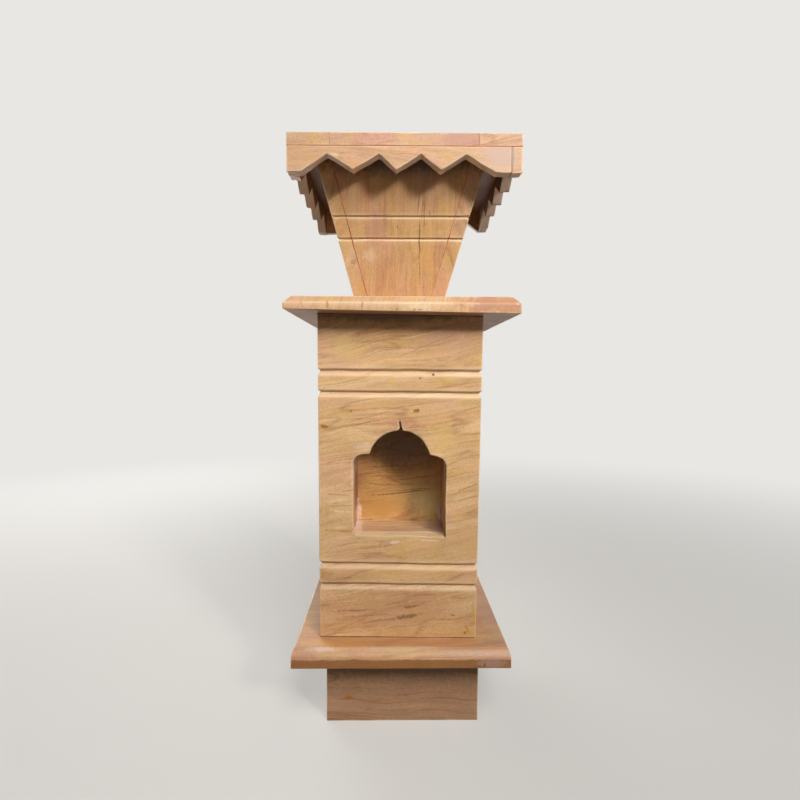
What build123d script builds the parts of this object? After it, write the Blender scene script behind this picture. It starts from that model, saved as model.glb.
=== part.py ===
from build123d import *

import os
from math import atan, cos, sqrt

# Tulsi vrindavan planter: a slab-built sandstone pedestal with a lamp niche and a flared planter.
#
# Frame: millimetres, +Z up, +Y away from the viewer. The origin is the centre of the foot's underside.
# The niche is in the front, at -Y. Every section is a hollow box of sawn slabs, bonded at butt joints.
# Steel dowels locate one section on the next.

# Stock, the thickness of the slabs that the object is sawn from
WALL = 19.0  # foot, shaft and planter
BASE_STOCK = 24.0
CAP_STOCK = 20.0
COLLAR_STOCK = 14.0  # rim strips and skirt boards
LINING_STOCK = 12.0  # slips that line the niche

# Foot and base slab
FOOT_WIDTH = 210.0
FOOT_HEIGHT = 96.0
BASE_WIDTH = 290.0
BASE_ROUND = 10.0

# Shaft
SHAFT_WIDTH = 218.0
SHAFT_HEIGHT = 442.0
LOWER_BAND_INSET = 74.0  # from the shaft's foot to the nearest groove
UPPER_BAND_INSET = 77.0  # from the shaft's head to the nearest groove
BAND_WIDTH = 28.0  # between the two grooves of a pair
SHAFT_GROOVE_RISE = 4.5  # from the groove's root up to its upper lip
SHAFT_GROOVE_FALL = 4.5  # from the root down to its lower lip
SHAFT_GROOVE_DEPTH = 3.0

# Niche, with heights above its sill
SILL_ABOVE_SHAFT_FOOT = 142.5
NICHE_WIDTH = 126.0
NICHE_DEPTH = 79.0
SHOULDER_HEIGHT = 111.5
SHOULDER_RADIUS = 14.0
LOBE_CHORD = 82.0
LOBE_RISE = 32.0
SPIRE_TIP_HEIGHT = 159.5
SPIRE_WIDTH = 2.2
SPIRE_FLARE = 4.5  # half the width over which the lobe turns up into the spire
SPIRE_FLARE_RADIUS = 5.4
NICHE_HEAD_CLEARANCE = 4.0  # from the lobe's top to the lining above it

# Cap slab
CAP_WIDTH = 300.0
CAP_BEVEL = 9.0

# Planter, a square funnel
PLANTER_BOTTOM = 124.0
PLANTER_TOP = 227.0
PLANTER_HEIGHT = 186.0
PLANTER_GROOVE_LEVELS = (83.0, 113.0)
PLANTER_GROOVE_RISE = 1.8
PLANTER_GROOVE_FALL = 4.0
PLANTER_GROOVE_DEPTH = 2.2
FLOOR_GAP = 0.3  # between the floor slab and the sloping walls

# Collar
COLLAR_WIDTH = 296.0
RIM_STRIP_WIDTH = 54.0
SKIRT_HEIGHT = 34.0
NOTCH_COUNT = 4
NOTCH_PITCH = 57.5
NOTCH_DEPTH = 22.0

# Drain and dowels
DRAIN_RADIUS = 8.0
DOWEL_RADIUS = 4.0
DOWEL_HOLE_RADIUS = 4.2  # the gap is filled with resin
DOWEL_IN_WALL = 20.0
DOWEL_IN_SLAB = 12.0
FOOT_DOWEL_HALF_SPACING = 60.0
SHAFT_DOWEL_HALF_SPACING = 50.0
PLANTER_DOWEL_HALF_SPACING = 26.0

# Levels and half widths that follow
BASE_Z = FOOT_HEIGHT
SHAFT_Z = BASE_Z + BASE_STOCK
CAP_Z = SHAFT_Z + SHAFT_HEIGHT
PLANTER_Z = CAP_Z + CAP_STOCK
RIM_Z = PLANTER_Z + PLANTER_HEIGHT
FOOT_HALF = FOOT_WIDTH / 2
SHAFT_HALF = SHAFT_WIDTH / 2
COLLAR_HALF = COLLAR_WIDTH / 2
SILL_Z = SHAFT_Z + SILL_ABOVE_SHAFT_FOOT
PLANTER_SLOPE = (PLANTER_TOP - PLANTER_BOTTOM) / 2 / PLANTER_HEIGHT
WALL_ACROSS = WALL / cos(atan(PLANTER_SLOPE))  # a sloping wall's thickness, measured level
SHAFT_GROOVE_LEVELS = (
    SHAFT_Z + LOWER_BAND_INSET,
    SHAFT_Z + LOWER_BAND_INSET + BAND_WIDTH,
    CAP_Z - UPPER_BAND_INSET - BAND_WIDTH,
    CAP_Z - UPPER_BAND_INSET,
)
REACH = 2 * CAP_WIDTH  # wider than anything it cuts


def shaft_half(z):
    """Half the shaft's outer width at level z, the same all the way up."""
    return SHAFT_HALF


def planter_half(z):
    """Half the planter's outer width at level z."""
    return PLANTER_BOTTOM / 2 + (z - PLANTER_Z) * PLANTER_SLOPE


def groove_ring(level, half_at, rise, fall, depth):
    """The waste of a V groove sawn round a square section.

    The groove's root is at level, and its lips are rise above and fall below that. half_at(z) is half
    the section's width at level z.
    """
    low, high = level - fall, level + rise
    root = 2 * (half_at(level) - depth)
    with BuildPart() as waste:
        with BuildSketch(Plane.XY.offset(low)):
            Rectangle(REACH, REACH)
        extrude(amount=high - low)
        for lip in (low, high):
            with BuildSketch(Plane.XY.offset(level)):
                Rectangle(root, root)
            with BuildSketch(Plane.XY.offset(lip)):
                Rectangle(2 * half_at(lip), 2 * half_at(lip))
            loft(mode=Mode.SUBTRACT)
    return waste.part


def drill(points, radius, low, high):
    """Cuts upright holes between two levels in the part that is being built, one at each point."""
    with BuildSketch(Plane.XY.offset(low)) as holes:
        with Locations(*points):
            Circle(radius)
    extrude(holes.sketch, amount=high - low, mode=Mode.SUBTRACT)


def four_points(half_x, half_y):
    """The corners of a rectangle about the Z axis."""
    return [(sx * half_x, sy * half_y) for sx in (-1, 1) for sy in (-1, 1)]


FOOT_DOWELS = four_points(FOOT_DOWEL_HALF_SPACING, FOOT_HALF - WALL / 2)
SHAFT_DOWELS = four_points(SHAFT_HALF - WALL / 2, SHAFT_DOWEL_HALF_SPACING)
PLANTER_DOWELS = four_points(PLANTER_DOWEL_HALF_SPACING, PLANTER_DOWEL_HALF_SPACING)
DRAIN = [(0, 0)]

os.makedirs("parts", exist_ok=True)


def finish(name, piece):
    """Labels a finished piece and writes its STEP file."""
    piece.part.label = name
    export_step(piece.part, f"parts/{name}.step")


# Foot: the front and back slabs run the full width, and the side slabs stand between them
for name, side in (("foot_front", -1), ("foot_back", 1)):
    with BuildPart() as foot_slab:
        with BuildSketch(Plane.XY):
            with Locations((0, side * (FOOT_HALF - WALL / 2))):
                Rectangle(FOOT_WIDTH, WALL)
        extrude(amount=FOOT_HEIGHT)
        drill(FOOT_DOWELS, DOWEL_HOLE_RADIUS, BASE_Z - DOWEL_IN_WALL, BASE_Z)
    finish(name, foot_slab)

for name, side in (("foot_left", -1), ("foot_right", 1)):
    with BuildPart() as foot_slab:
        with BuildSketch(Plane.XY):
            with Locations((side * (FOOT_HALF - WALL / 2), 0)):
                Rectangle(WALL, FOOT_WIDTH - 2 * WALL)
        extrude(amount=FOOT_HEIGHT)
    finish(name, foot_slab)

# Base slab: a square slab with a quarter-round shoulder over a plain edge
with BuildPart() as base_slab:
    with BuildSketch(Plane.XY.offset(BASE_Z)):
        Rectangle(BASE_WIDTH, BASE_WIDTH)
    extrude(amount=BASE_STOCK)
    fillet(base_slab.faces().sort_by(Axis.Z)[-1].edges(), radius=BASE_ROUND)
    drill(FOOT_DOWELS, DOWEL_HOLE_RADIUS, BASE_Z, BASE_Z + DOWEL_IN_SLAB)
    drill(SHAFT_DOWELS, DOWEL_HOLE_RADIUS, SHAFT_Z - DOWEL_IN_SLAB, SHAFT_Z)
    drill(DRAIN, DRAIN_RADIUS, BASE_Z, SHAFT_Z)
finish("base_slab", base_slab)

# Shaft: full-width front and back slabs, with the side slabs between them
shaft_grooves = [
    groove_ring(level, shaft_half, SHAFT_GROOVE_RISE, SHAFT_GROOVE_FALL, SHAFT_GROOVE_DEPTH)
    for level in SHAFT_GROOVE_LEVELS
]

# Niche outline: upright jambs, round shoulders, a wide round lobe and a thin spire over it
half_niche = NICHE_WIDTH / 2
half_chord = LOBE_CHORD / 2
lobe_radius = (half_chord**2 + LOBE_RISE**2) / (2 * LOBE_RISE)
lobe_centre = SHOULDER_HEIGHT + LOBE_RISE - lobe_radius


def on_lobe(x):
    """The point of the lobe's arc at a distance x from the niche's middle."""
    return (x, lobe_centre + sqrt(lobe_radius**2 - x**2))


with BuildSketch() as niche_outline:
    with BuildLine():
        Line((0, 0), (half_niche, 0))
        Line((half_niche, 0), (half_niche, SHOULDER_HEIGHT - SHOULDER_RADIUS))
        RadiusArc(
            (half_niche, SHOULDER_HEIGHT - SHOULDER_RADIUS),
            (half_niche - SHOULDER_RADIUS, SHOULDER_HEIGHT),
            -SHOULDER_RADIUS,
        )
        Line((half_niche - SHOULDER_RADIUS, SHOULDER_HEIGHT), (half_chord, SHOULDER_HEIGHT))
        RadiusArc((half_chord, SHOULDER_HEIGHT), on_lobe(SPIRE_FLARE), -lobe_radius)
        spire_root = (SPIRE_WIDTH / 2, on_lobe(0)[1] + SPIRE_FLARE)
        RadiusArc(on_lobe(SPIRE_FLARE), spire_root, SPIRE_FLARE_RADIUS)
        Line(spire_root, (0, SPIRE_TIP_HEIGHT))
        Line((0, SPIRE_TIP_HEIGHT), (0, 0))
    make_face()
    mirror(about=Plane.YZ)

with BuildPart() as shaft_front:
    with BuildSketch(Plane.XY.offset(SHAFT_Z)):
        with Locations((0, WALL / 2 - SHAFT_HALF)):
            Rectangle(SHAFT_WIDTH, WALL)
    extrude(amount=SHAFT_HEIGHT)
    for ring in shaft_grooves:
        add(ring, mode=Mode.SUBTRACT)
    with BuildSketch(Plane.XZ.offset(SHAFT_HALF)):
        with Locations((0, SILL_Z)):
            add(niche_outline.sketch)
    extrude(amount=-WALL, mode=Mode.SUBTRACT)
finish("shaft_front", shaft_front)

with BuildPart() as shaft_back:
    with BuildSketch(Plane.XY.offset(SHAFT_Z)):
        with Locations((0, SHAFT_HALF - WALL / 2)):
            Rectangle(SHAFT_WIDTH, WALL)
    extrude(amount=SHAFT_HEIGHT)
    for ring in shaft_grooves:
        add(ring, mode=Mode.SUBTRACT)
finish("shaft_back", shaft_back)

for name, side in (("shaft_left", -1), ("shaft_right", 1)):
    with BuildPart() as shaft_side:
        with BuildSketch(Plane.XY.offset(SHAFT_Z)):
            with Locations((side * (SHAFT_HALF - WALL / 2), 0)):
                Rectangle(WALL, SHAFT_WIDTH - 2 * WALL)
        extrude(amount=SHAFT_HEIGHT)
        for ring in shaft_grooves:
            add(ring, mode=Mode.SUBTRACT)
        drill(SHAFT_DOWELS, DOWEL_HOLE_RADIUS, SHAFT_Z, SHAFT_Z + DOWEL_IN_WALL)
        drill(SHAFT_DOWELS, DOWEL_HOLE_RADIUS, CAP_Z - DOWEL_IN_WALL, CAP_Z)
    finish(name, shaft_side)

# Niche lining: sill, cheeks, head and back, bonded behind the front slab
lining_front = WALL - SHAFT_HALF
lining_back = NICHE_DEPTH - SHAFT_HALF
lining_depth = lining_back - lining_front
lining_middle = (lining_front + lining_back) / 2
head_z = SILL_Z + on_lobe(0)[1] + NICHE_HEAD_CLEARANCE
lining_low, lining_high = SILL_Z - LINING_STOCK, head_z + LINING_STOCK

for name, low in (("niche_sill", lining_low), ("niche_head", head_z)):
    with BuildPart() as lining:
        with BuildSketch(Plane.XY.offset(low)):
            with Locations((0, lining_middle)):
                Rectangle(NICHE_WIDTH, lining_depth)
        extrude(amount=LINING_STOCK)
    finish(name, lining)

for name, side in (("niche_left_cheek", -1), ("niche_right_cheek", 1)):
    with BuildPart() as lining:
        with BuildSketch(Plane.XY.offset(lining_low)):
            with Locations((side * (NICHE_WIDTH + LINING_STOCK) / 2, lining_middle)):
                Rectangle(LINING_STOCK, lining_depth)
        extrude(amount=lining_high - lining_low)
    finish(name, lining)

with BuildPart() as niche_back:
    with BuildSketch(Plane.XY.offset(lining_low)):
        with Locations((0, lining_back + LINING_STOCK / 2)):
            Rectangle(NICHE_WIDTH + 2 * LINING_STOCK, LINING_STOCK)
    extrude(amount=lining_high - lining_low)
finish("niche_back", niche_back)

# Cap slab: a square slab with a bevel round its top edge
with BuildPart() as cap_slab:
    with BuildSketch(Plane.XY.offset(CAP_Z)):
        Rectangle(CAP_WIDTH, CAP_WIDTH)
    extrude(amount=CAP_STOCK)
    chamfer(cap_slab.faces().sort_by(Axis.Z)[-1].edges(), length=CAP_BEVEL)
    drill(SHAFT_DOWELS, DOWEL_HOLE_RADIUS, CAP_Z, CAP_Z + DOWEL_IN_SLAB)
    drill(PLANTER_DOWELS, DOWEL_HOLE_RADIUS, PLANTER_Z - DOWEL_IN_SLAB, PLANTER_Z)
    drill(DRAIN, DRAIN_RADIUS, CAP_Z, PLANTER_Z)
finish("cap_slab", cap_slab)

# Planter: full-depth side slabs, with the front and back slabs between them
planter_grooves = [
    groove_ring(
        PLANTER_Z + level,
        planter_half,
        PLANTER_GROOVE_RISE,
        PLANTER_GROOVE_FALL,
        PLANTER_GROOVE_DEPTH,
    )
    for level in PLANTER_GROOVE_LEVELS
]


def funnel(trim_x, trim_y):
    """A solid square funnel with the planter's slope, trimmed level by trim_x and trim_y at each side."""
    with BuildPart() as body:
        for z, width in ((PLANTER_Z, PLANTER_BOTTOM), (RIM_Z, PLANTER_TOP)):
            with BuildSketch(Plane.XY.offset(z)):
                Rectangle(width - 2 * trim_x, width - 2 * trim_y)
        loft()
    return body.part


outer_funnel = funnel(0, 0)
between_sides = funnel(WALL_ACROSS, 0)
clear_of_sides = funnel(WALL_ACROSS, -WALL_ACROSS)
clear_of_ends = funnel(0, WALL_ACROSS)

for name, half in (("planter_left", Keep.BOTTOM), ("planter_right", Keep.TOP)):
    with BuildPart() as planter_side:
        add(outer_funnel)
        for ring in planter_grooves:
            add(ring, mode=Mode.SUBTRACT)
        add(clear_of_sides, mode=Mode.SUBTRACT)
        split(bisect_by=Plane.YZ, keep=half)
    finish(name, planter_side)

for name, half in (("planter_front", Keep.TOP), ("planter_back", Keep.BOTTOM)):
    with BuildPart() as planter_end:
        add(between_sides)
        for ring in planter_grooves:
            add(ring, mode=Mode.SUBTRACT)
        add(clear_of_ends, mode=Mode.SUBTRACT)
        split(bisect_by=Plane.XZ, keep=half)
    finish(name, planter_end)

# Floor of the planter, fitted between the sloping walls, with the drain hole in its middle
floor_z = PLANTER_Z + WALL
with BuildPart() as planter_floor:
    for z in (PLANTER_Z, floor_z):
        floor_half = planter_half(z) - WALL_ACROSS - FLOOR_GAP
        with BuildSketch(Plane.XY.offset(z)):
            Rectangle(2 * floor_half, 2 * floor_half)
    loft()
    drill(PLANTER_DOWELS, DOWEL_HOLE_RADIUS, PLANTER_Z, PLANTER_Z + DOWEL_IN_SLAB)
    drill(DRAIN, DRAIN_RADIUS, PLANTER_Z, floor_z)
finish("planter_floor", planter_floor)

# Rim: side strips run the full depth, and the front and back strips fit between them
strip_centre = COLLAR_HALF - RIM_STRIP_WIDTH / 2
rim_strips = {
    "rim_front": ((0, -strip_centre), COLLAR_WIDTH - 2 * RIM_STRIP_WIDTH, RIM_STRIP_WIDTH),
    "rim_back": ((0, strip_centre), COLLAR_WIDTH - 2 * RIM_STRIP_WIDTH, RIM_STRIP_WIDTH),
    "rim_left": ((-strip_centre, 0), RIM_STRIP_WIDTH, COLLAR_WIDTH),
    "rim_right": ((strip_centre, 0), RIM_STRIP_WIDTH, COLLAR_WIDTH),
}
for name, (centre, along_x, along_y) in rim_strips.items():
    with BuildPart() as strip:
        with BuildSketch(Plane.XY.offset(RIM_Z)):
            with Locations(centre):
                Rectangle(along_x, along_y)
        extrude(amount=COLLAR_STOCK)
    finish(name, strip)

# Skirt: four alike boards with a sawn zigzag edge, each lapping the end of the next
skirt_z = RIM_Z - SKIRT_HEIGHT
first_notch = -NOTCH_COUNT * NOTCH_PITCH / 2
zigzag = [(first_notch, skirt_z)]
for notch in range(NOTCH_COUNT):
    start = first_notch + notch * NOTCH_PITCH
    zigzag += [
        (start + NOTCH_PITCH / 2, skirt_z + NOTCH_DEPTH),
        (start + NOTCH_PITCH, skirt_z),
    ]
board_end = COLLAR_HALF - COLLAR_STOCK

with BuildPart() as skirt_board:
    with BuildSketch(Plane.XZ.offset(COLLAR_HALF)):
        with BuildLine():
            Polyline(
                (-COLLAR_HALF, skirt_z),
                *zigzag,
                (board_end, skirt_z),
                (board_end, RIM_Z),
                (-COLLAR_HALF, RIM_Z),
                close=True,
            )
        make_face()
    extrude(amount=-COLLAR_STOCK)

for turn, name in enumerate(("skirt_front", "skirt_right", "skirt_back", "skirt_left")):
    with BuildPart() as board:
        add(skirt_board.part, rotation=(0, 0, 90 * turn))
    finish(name, board)

# Dowels, one group for each bed between two sections
dowel_groups = {
    "foot_dowels": (FOOT_DOWELS, BASE_Z - DOWEL_IN_WALL, BASE_Z + DOWEL_IN_SLAB),
    "base_dowels": (SHAFT_DOWELS, SHAFT_Z - DOWEL_IN_SLAB, SHAFT_Z + DOWEL_IN_WALL),
    "cap_dowels": (SHAFT_DOWELS, CAP_Z - DOWEL_IN_WALL, CAP_Z + DOWEL_IN_SLAB),
    "planter_dowels": (PLANTER_DOWELS, PLANTER_Z - DOWEL_IN_SLAB, PLANTER_Z + DOWEL_IN_SLAB),
}
for name, (points, low, high) in dowel_groups.items():
    with BuildPart() as pins:
        with BuildSketch(Plane.XY.offset(low)):
            with Locations(*points):
                Circle(DOWEL_RADIUS)
        extrude(amount=high - low)
    finish(name, pins)
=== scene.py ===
"""A tulsi vrindavan planter in teakwood sandstone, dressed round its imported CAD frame.

The planter is a stack of hollow boxes, each bonded from sawn slabs: a foot, a base slab, a shaft with
an arched lamp niche, a cap slab, a square funnel for the plant and a collar with a sawn zigzag skirt.
Every slab here stands for its CAD node. It has the worn arrises, hand-ground grooves, resin joints and
flowing veins of the real stone. Sizes in the classes are millimetres, and meshes are metres.
"""

import logging
import math
from dataclasses import dataclass, field
from enum import Enum
from functools import lru_cache, partial
from typing import Any, ClassVar, Iterable, Sequence

import bpy
import numpy as np
from mathutils import Matrix, Vector, noise

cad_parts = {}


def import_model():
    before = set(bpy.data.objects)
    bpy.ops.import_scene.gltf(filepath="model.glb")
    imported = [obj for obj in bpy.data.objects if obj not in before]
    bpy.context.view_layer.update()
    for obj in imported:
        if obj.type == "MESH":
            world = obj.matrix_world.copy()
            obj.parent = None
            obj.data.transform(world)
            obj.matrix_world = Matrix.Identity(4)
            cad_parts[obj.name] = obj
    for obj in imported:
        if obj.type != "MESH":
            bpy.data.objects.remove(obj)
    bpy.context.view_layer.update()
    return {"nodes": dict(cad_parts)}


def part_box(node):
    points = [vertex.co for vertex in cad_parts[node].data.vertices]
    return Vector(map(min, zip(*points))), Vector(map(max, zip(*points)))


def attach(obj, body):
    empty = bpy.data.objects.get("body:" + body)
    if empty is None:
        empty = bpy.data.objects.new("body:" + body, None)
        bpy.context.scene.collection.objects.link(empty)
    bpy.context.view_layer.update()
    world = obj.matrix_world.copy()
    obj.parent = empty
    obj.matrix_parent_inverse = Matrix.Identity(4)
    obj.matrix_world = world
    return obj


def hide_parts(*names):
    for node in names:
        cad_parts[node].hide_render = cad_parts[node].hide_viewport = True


Tree, Socket = bpy.types.NodeTree, bpy.types.NodeSocket
LOG = logging.getLogger("planter")
MM = 0.001
BODY = "root"
MIX_FACTOR, MIX_A, MIX_B, MIX_RESULT = 0, 6, 7, 2  # a colour Mix node's sockets
OBJECT_COORDINATES = 3  # Texture Coordinate's output
FACTOR_OUT = 2  # an Attribute node's number
COLOUR_OUT = 1  # a noise texture's colour
LENGTH_OUT = 1  # the number that a vector sum gives
CAMERA_RAY, GLOSSY_RAY, TRANSMISSION_RAY = 0, 3, 6  # Light Path's outputs
CORNERS = ((-1, -1), (-1, 1), (1, -1), (1, 1))  # the signs of X and Y at a square's corners

# ---------------------------------------------------------------- nodes and colours


def linear(hex_colour: str) -> tuple[float, float, float, float]:
    """Turns an sRGB hex colour to linear RGBA.

    Args:
        hex_colour: A colour such as "#d9b284".

    Returns:
        The linear red, green and blue, and an alpha of 1.
    """
    parts = [int(hex_colour[i : i + 2], 16) / 255 for i in (1, 3, 5)]
    return (*(c / 12.92 if c <= 0.04045 else ((c + 0.055) / 1.055) ** 2.4 for c in parts), 1.0)


def per(size: float) -> float:
    """Repeats per metre of a pattern whose features are size millimetres."""
    return 1 / (size * MM)


def add_node(tree: Tree, kind: str, inputs: dict[Any, Any], out: int = 0, **settings: Any) -> Socket:
    """Adds a node with its settings and links.

    Args:
        tree: The node tree that it goes into.
        kind: The node's type.
        inputs: A value or an output socket for each input, by name or index.
        out: The index of the output that is wanted.
        **settings: The node's own properties.

    Returns:
        The wanted output socket, or the node's first input if it has no outputs.
    """
    node = tree.nodes.new(kind)
    for name, value in settings.items():
        setattr(node, name, value)
    for key, value in inputs.items():
        socket = node.inputs[key]
        if isinstance(value, Socket):
            tree.links.new(value, socket)
        else:
            socket.default_value = value
    return node.outputs[out] if len(node.outputs) else node.inputs[0]


def number_calc(tree: Tree, operation: str, *values: Any) -> Socket:
    """The result of a sum on numbers."""
    return add_node(tree, "ShaderNodeMath", dict(enumerate(values)), operation=operation)


def vector_calc(tree: Tree, operation: str, *values: Any, out: int = 0) -> Socket:
    """The result of a sum on vectors."""
    return add_node(tree, "ShaderNodeVectorMath", dict(enumerate(values)), out, operation=operation)


def blend(tree: Tree, share: Any, one: Any, other: Any) -> Socket:
    """Mixes two colours: one where share is 0, the other where it is 1."""
    inputs = {MIX_FACTOR: share, MIX_A: one, MIX_B: other}
    return add_node(tree, "ShaderNodeMix", inputs, MIX_RESULT, data_type="RGBA")


def smooth_range(
    tree: Tree, value: Any, low: float, high: float, to_low: float = 0.0, to_high: float = 1.0
) -> Socket:
    """Carries a value smoothly from one range to another, and holds it inside that."""
    inputs = {"Value": value, "From Min": low, "From Max": high, "To Min": to_low, "To Max": to_high}
    return add_node(tree, "ShaderNodeMapRange", inputs, interpolation_type="SMOOTHSTEP")


def close_material(tree: Tree, inputs: dict[str, Any]) -> None:
    """Ends a material in a Principled shader with these inputs."""
    shader = add_node(tree, "ShaderNodeBsdfPrincipled", inputs)
    add_node(tree, "ShaderNodeOutputMaterial", {"Surface": shader})


def new_material(name: str) -> tuple[bpy.types.Material, Tree]:
    """Starts a material with an empty tree.

    Args:
        name: The material's name.

    Returns:
        The material and its tree.
    """
    material = bpy.data.materials.new(name)
    material.use_nodes = True
    material.node_tree.nodes.clear()
    return material, material.node_tree


# ---------------------------------------------------------------- finishes


@dataclass(frozen=True)
class Mark:
    """A stain, knot, fleck or crack at one place in a slab, or a patch of painted shade or highlight.

    It is an ellipsoid with a ragged edge: at is its centre, half its half sizes and lean the degrees
    by which it rises to the right.
    """

    at: tuple[float, float, float]
    half: tuple[float, float, float]
    colour: str
    strength: float = 0.8
    lean: float = 0.0
    ragged: float = 0.9
    core: float = 0.35  # the share of its size over which it is solid


@dataclass(frozen=True)
class Streak:
    """A pattern drawn out along the bedding.

    size is that of its features along the two bedding directions and across them. Its strength rises
    as the noise goes from low to high.
    """

    size: tuple[float, float, float]
    low: float
    high: float
    detail: float = 3.0


@dataclass(frozen=True)
class Teakwood:
    """Teakwood sandstone, gang-sawn and then rubbed smooth by hand with fine grit.

    The eye gets a satin tan ground, brown iron veins that flow along the bedding as grain does in
    wood, patches of pink and ochre, and arrises that handling has rubbed paler, with a painted
    highlight on them. Hollow folds get dust and painted shade, and faces that look down get the sawn
    finish's colour, which also paints their light and shade. turn is how the bedding lies in the
    slab, in degrees about X, Y and Z, and seed picks the place in the quarry.
    """

    name: str
    turn: tuple[float, float, float]
    seed: float
    ground: str = "#d6ac79"
    pale: str = "#e4c193"
    vein: str = "#9a6036"
    blush: str = "#d9a487"
    ochre: str = "#d8b06a"
    veining: float = 0.5
    blushing: float = 0.45
    yellowing: float = 0.5
    sawn: str = "#b9a296"  # faces that look down: the sawn finish's colour, which also paints their light and shade
    sway: float = 40.0  # how far the bedding wanders
    marks: tuple[Mark, ...] = ()

    RUBBED_AND_SHEEN = "#efd8b2"  # arrises that handling has paled, and a painted highlight on them
    DUST_AND_SHADE = "#7a4f2a"  # dust and painted shade in the grooves' roots and other hollow folds
    SHAKE = 5.0  # how far the marks' outlines stray at most

    BANDS = Streak((300, 300, 13), 0.34, 0.66, 3)
    ZONES = Streak((130, 130, 34), 0.44, 0.62, 2)
    BLUSH = Streak((90, 90, 38), 0.46, 0.66, 3)
    OCHRE = Streak((54, 54, 34), 0.48, 0.66, 3)
    CLOUD = Streak((40, 40, 22), 0.28, 0.72, 4)
    HAIR = Streak((80, 80, 2.3), 0.30, 0.70, 2)
    PORES = Streak((9.0, 9.0, 1.7), 0.34, 0.60, 2)
    FLECKS = Streak((7.0, 7.0, 2.4), 0.62, 0.72, 2)
    # The real grains are about 0.3 mm. They are drawn at 1.8 mm, the least that shows.
    GRAIN = Streak((2.4, 2.4, 1.8), 0.30, 0.70, 1)

    def material(self) -> bpy.types.Material:
        """Builds the stone's material, once.

        Returns:
            The material.
        """
        if self.name in bpy.data.materials:
            return bpy.data.materials[self.name]
        material, tree = new_material(self.name)
        bed = self._bedding(tree)
        colour, lines, grain, cloud = self._colour(tree, bed)
        # Arrises are rubbed paler and get a painted highlight.
        colour = self._tinted(tree, colour, "arris", self.RUBBED_AND_SHEEN, 0.5)
        # Hollow folds get dust and painted shade.
        colour = self._tinted(tree, colour, "grime_and_shade", self.DUST_AND_SHADE, 0.6)
        colour = self._marked(tree, colour)
        # Faces that look down take the sawn colour, which also paints their light and shade.
        colour = self._tinted(tree, colour, "sawn", self.sawn, 0.8)
        height = number_calc(tree, "MULTIPLY_ADD", lines, -0.6, grain)
        bump = add_node(tree, "ShaderNodeBump", {"Strength": 0.35, "Distance": 0.12 * MM, "Height": height})
        rough = add_node(tree, "ShaderNodeMapRange", {"Value": cloud, "To Min": 0.40, "To Max": 0.56})
        close_material(tree, {"Base Color": colour, "Roughness": rough, "Normal": bump, "IOR": 1.47})
        return material

    def _bedding(self, tree: Tree) -> Socket:
        """Turns the stone so that Z crosses the bedding, and lets the beds wander."""
        place = add_node(tree, "ShaderNodeTexCoord", {}, OBJECT_COORDINATES)
        turned = add_node(
            tree,
            "ShaderNodeMapping",
            {
                "Vector": place,
                "Rotation": [math.radians(a) for a in self.turn],
                "Location": (self.seed * 0.73, self.seed * 1.31, self.seed * 0.57),
            },
        )
        for size, reach in ((170, self.sway), (46, 7.0), (10, 0.7)):
            drift = add_node(
                tree, "ShaderNodeTexNoise", {"Vector": turned, "Scale": per(size), "Detail": 1.0}, COLOUR_OUT
            )
            turned = vector_calc(tree, "MULTIPLY_ADD", drift, (reach * MM,) * 3, turned)
        return turned

    def _streak(self, tree: Tree, bed: Socket, streak: Streak) -> Socket:
        """The raw noise of a streak, 0 to 1."""
        drawn = vector_calc(tree, "MULTIPLY", bed, [per(s) for s in streak.size])
        return add_node(
            tree,
            "ShaderNodeTexNoise",
            {"Vector": drawn, "Scale": 1.0, "Detail": streak.detail, "Roughness": 0.6},
        )

    def _ramp(self, tree: Tree, bed: Socket, streak: Streak) -> Socket:
        """A streak as a smooth mask, 0 to 1."""
        return smooth_range(tree, self._streak(tree, bed, streak), streak.low, streak.high)

    def _lines(self, tree: Tree, bed: Socket, size: tuple[float, float, float], width: float) -> Socket:
        """Thin lines where a drawn-out noise crosses its middle, as iron does along a bed."""
        raw = self._streak(tree, bed, Streak(size, 0, 1, 1.4))
        away = number_calc(tree, "ABSOLUTE", number_calc(tree, "SUBTRACT", raw, 0.5))
        return smooth_range(tree, away, 0.0, width, 1.0, 0.0)

    def _colour(self, tree: Tree, bed: Socket) -> tuple[Socket, ...]:
        """The stone's colour before marks and wear.

        Args:
            tree: The material's tree.
            bed: Coordinates in the bedding.

        Returns:
            The colour, the veins' mask, the grain and the clouds.
        """
        zones = self._ramp(tree, bed, self.ZONES)
        pores = self._ramp(tree, bed, self.PORES)
        pores = add_node(tree, "ShaderNodeMapRange", {"Value": pores, "To Min": 0.4})
        fine = self._lines(tree, bed, (260, 260, 7), 0.05)
        broad = self._lines(tree, bed, (240, 240, 40), 0.022)
        fine = number_calc(tree, "MULTIPLY", fine, zones)
        fine = number_calc(tree, "MULTIPLY", fine, pores)
        broad = number_calc(tree, "MULTIPLY", broad, pores)
        cloud = self._ramp(tree, bed, self.CLOUD)
        grain = self._ramp(tree, bed, self.GRAIN)
        hair = self._ramp(tree, bed, self.HAIR)
        colour: Any = linear(self.ground)
        for mask, other, strength in (
            (self._ramp(tree, bed, self.BANDS), self.pale, 0.8),
            (self._ramp(tree, bed, self.BLUSH), self.blush, self.blushing),
            (self._ramp(tree, bed, self.OCHRE), self.ochre, self.yellowing),
            (zones, self.vein, 0.12 * self.veining),
            (self._ramp(tree, bed, self.FLECKS), self.vein, 0.6 * self.veining),
            (fine, self.vein, 0.9 * self.veining),
            (broad, self.vein, 0.8 * self.veining),
        ):
            share = number_calc(tree, "MULTIPLY", mask, strength)
            colour = blend(tree, share, colour, linear(other))
        for mask, low, high in ((cloud, 0.92, 1.06), (grain, 0.93, 1.06), (hair, 0.91, 1.04)):
            level = add_node(tree, "ShaderNodeMapRange", {"Value": mask, "To Min": low, "To Max": high})
            colour = vector_calc(tree, "MULTIPLY", colour, level)
        return colour, fine, grain, cloud

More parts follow.
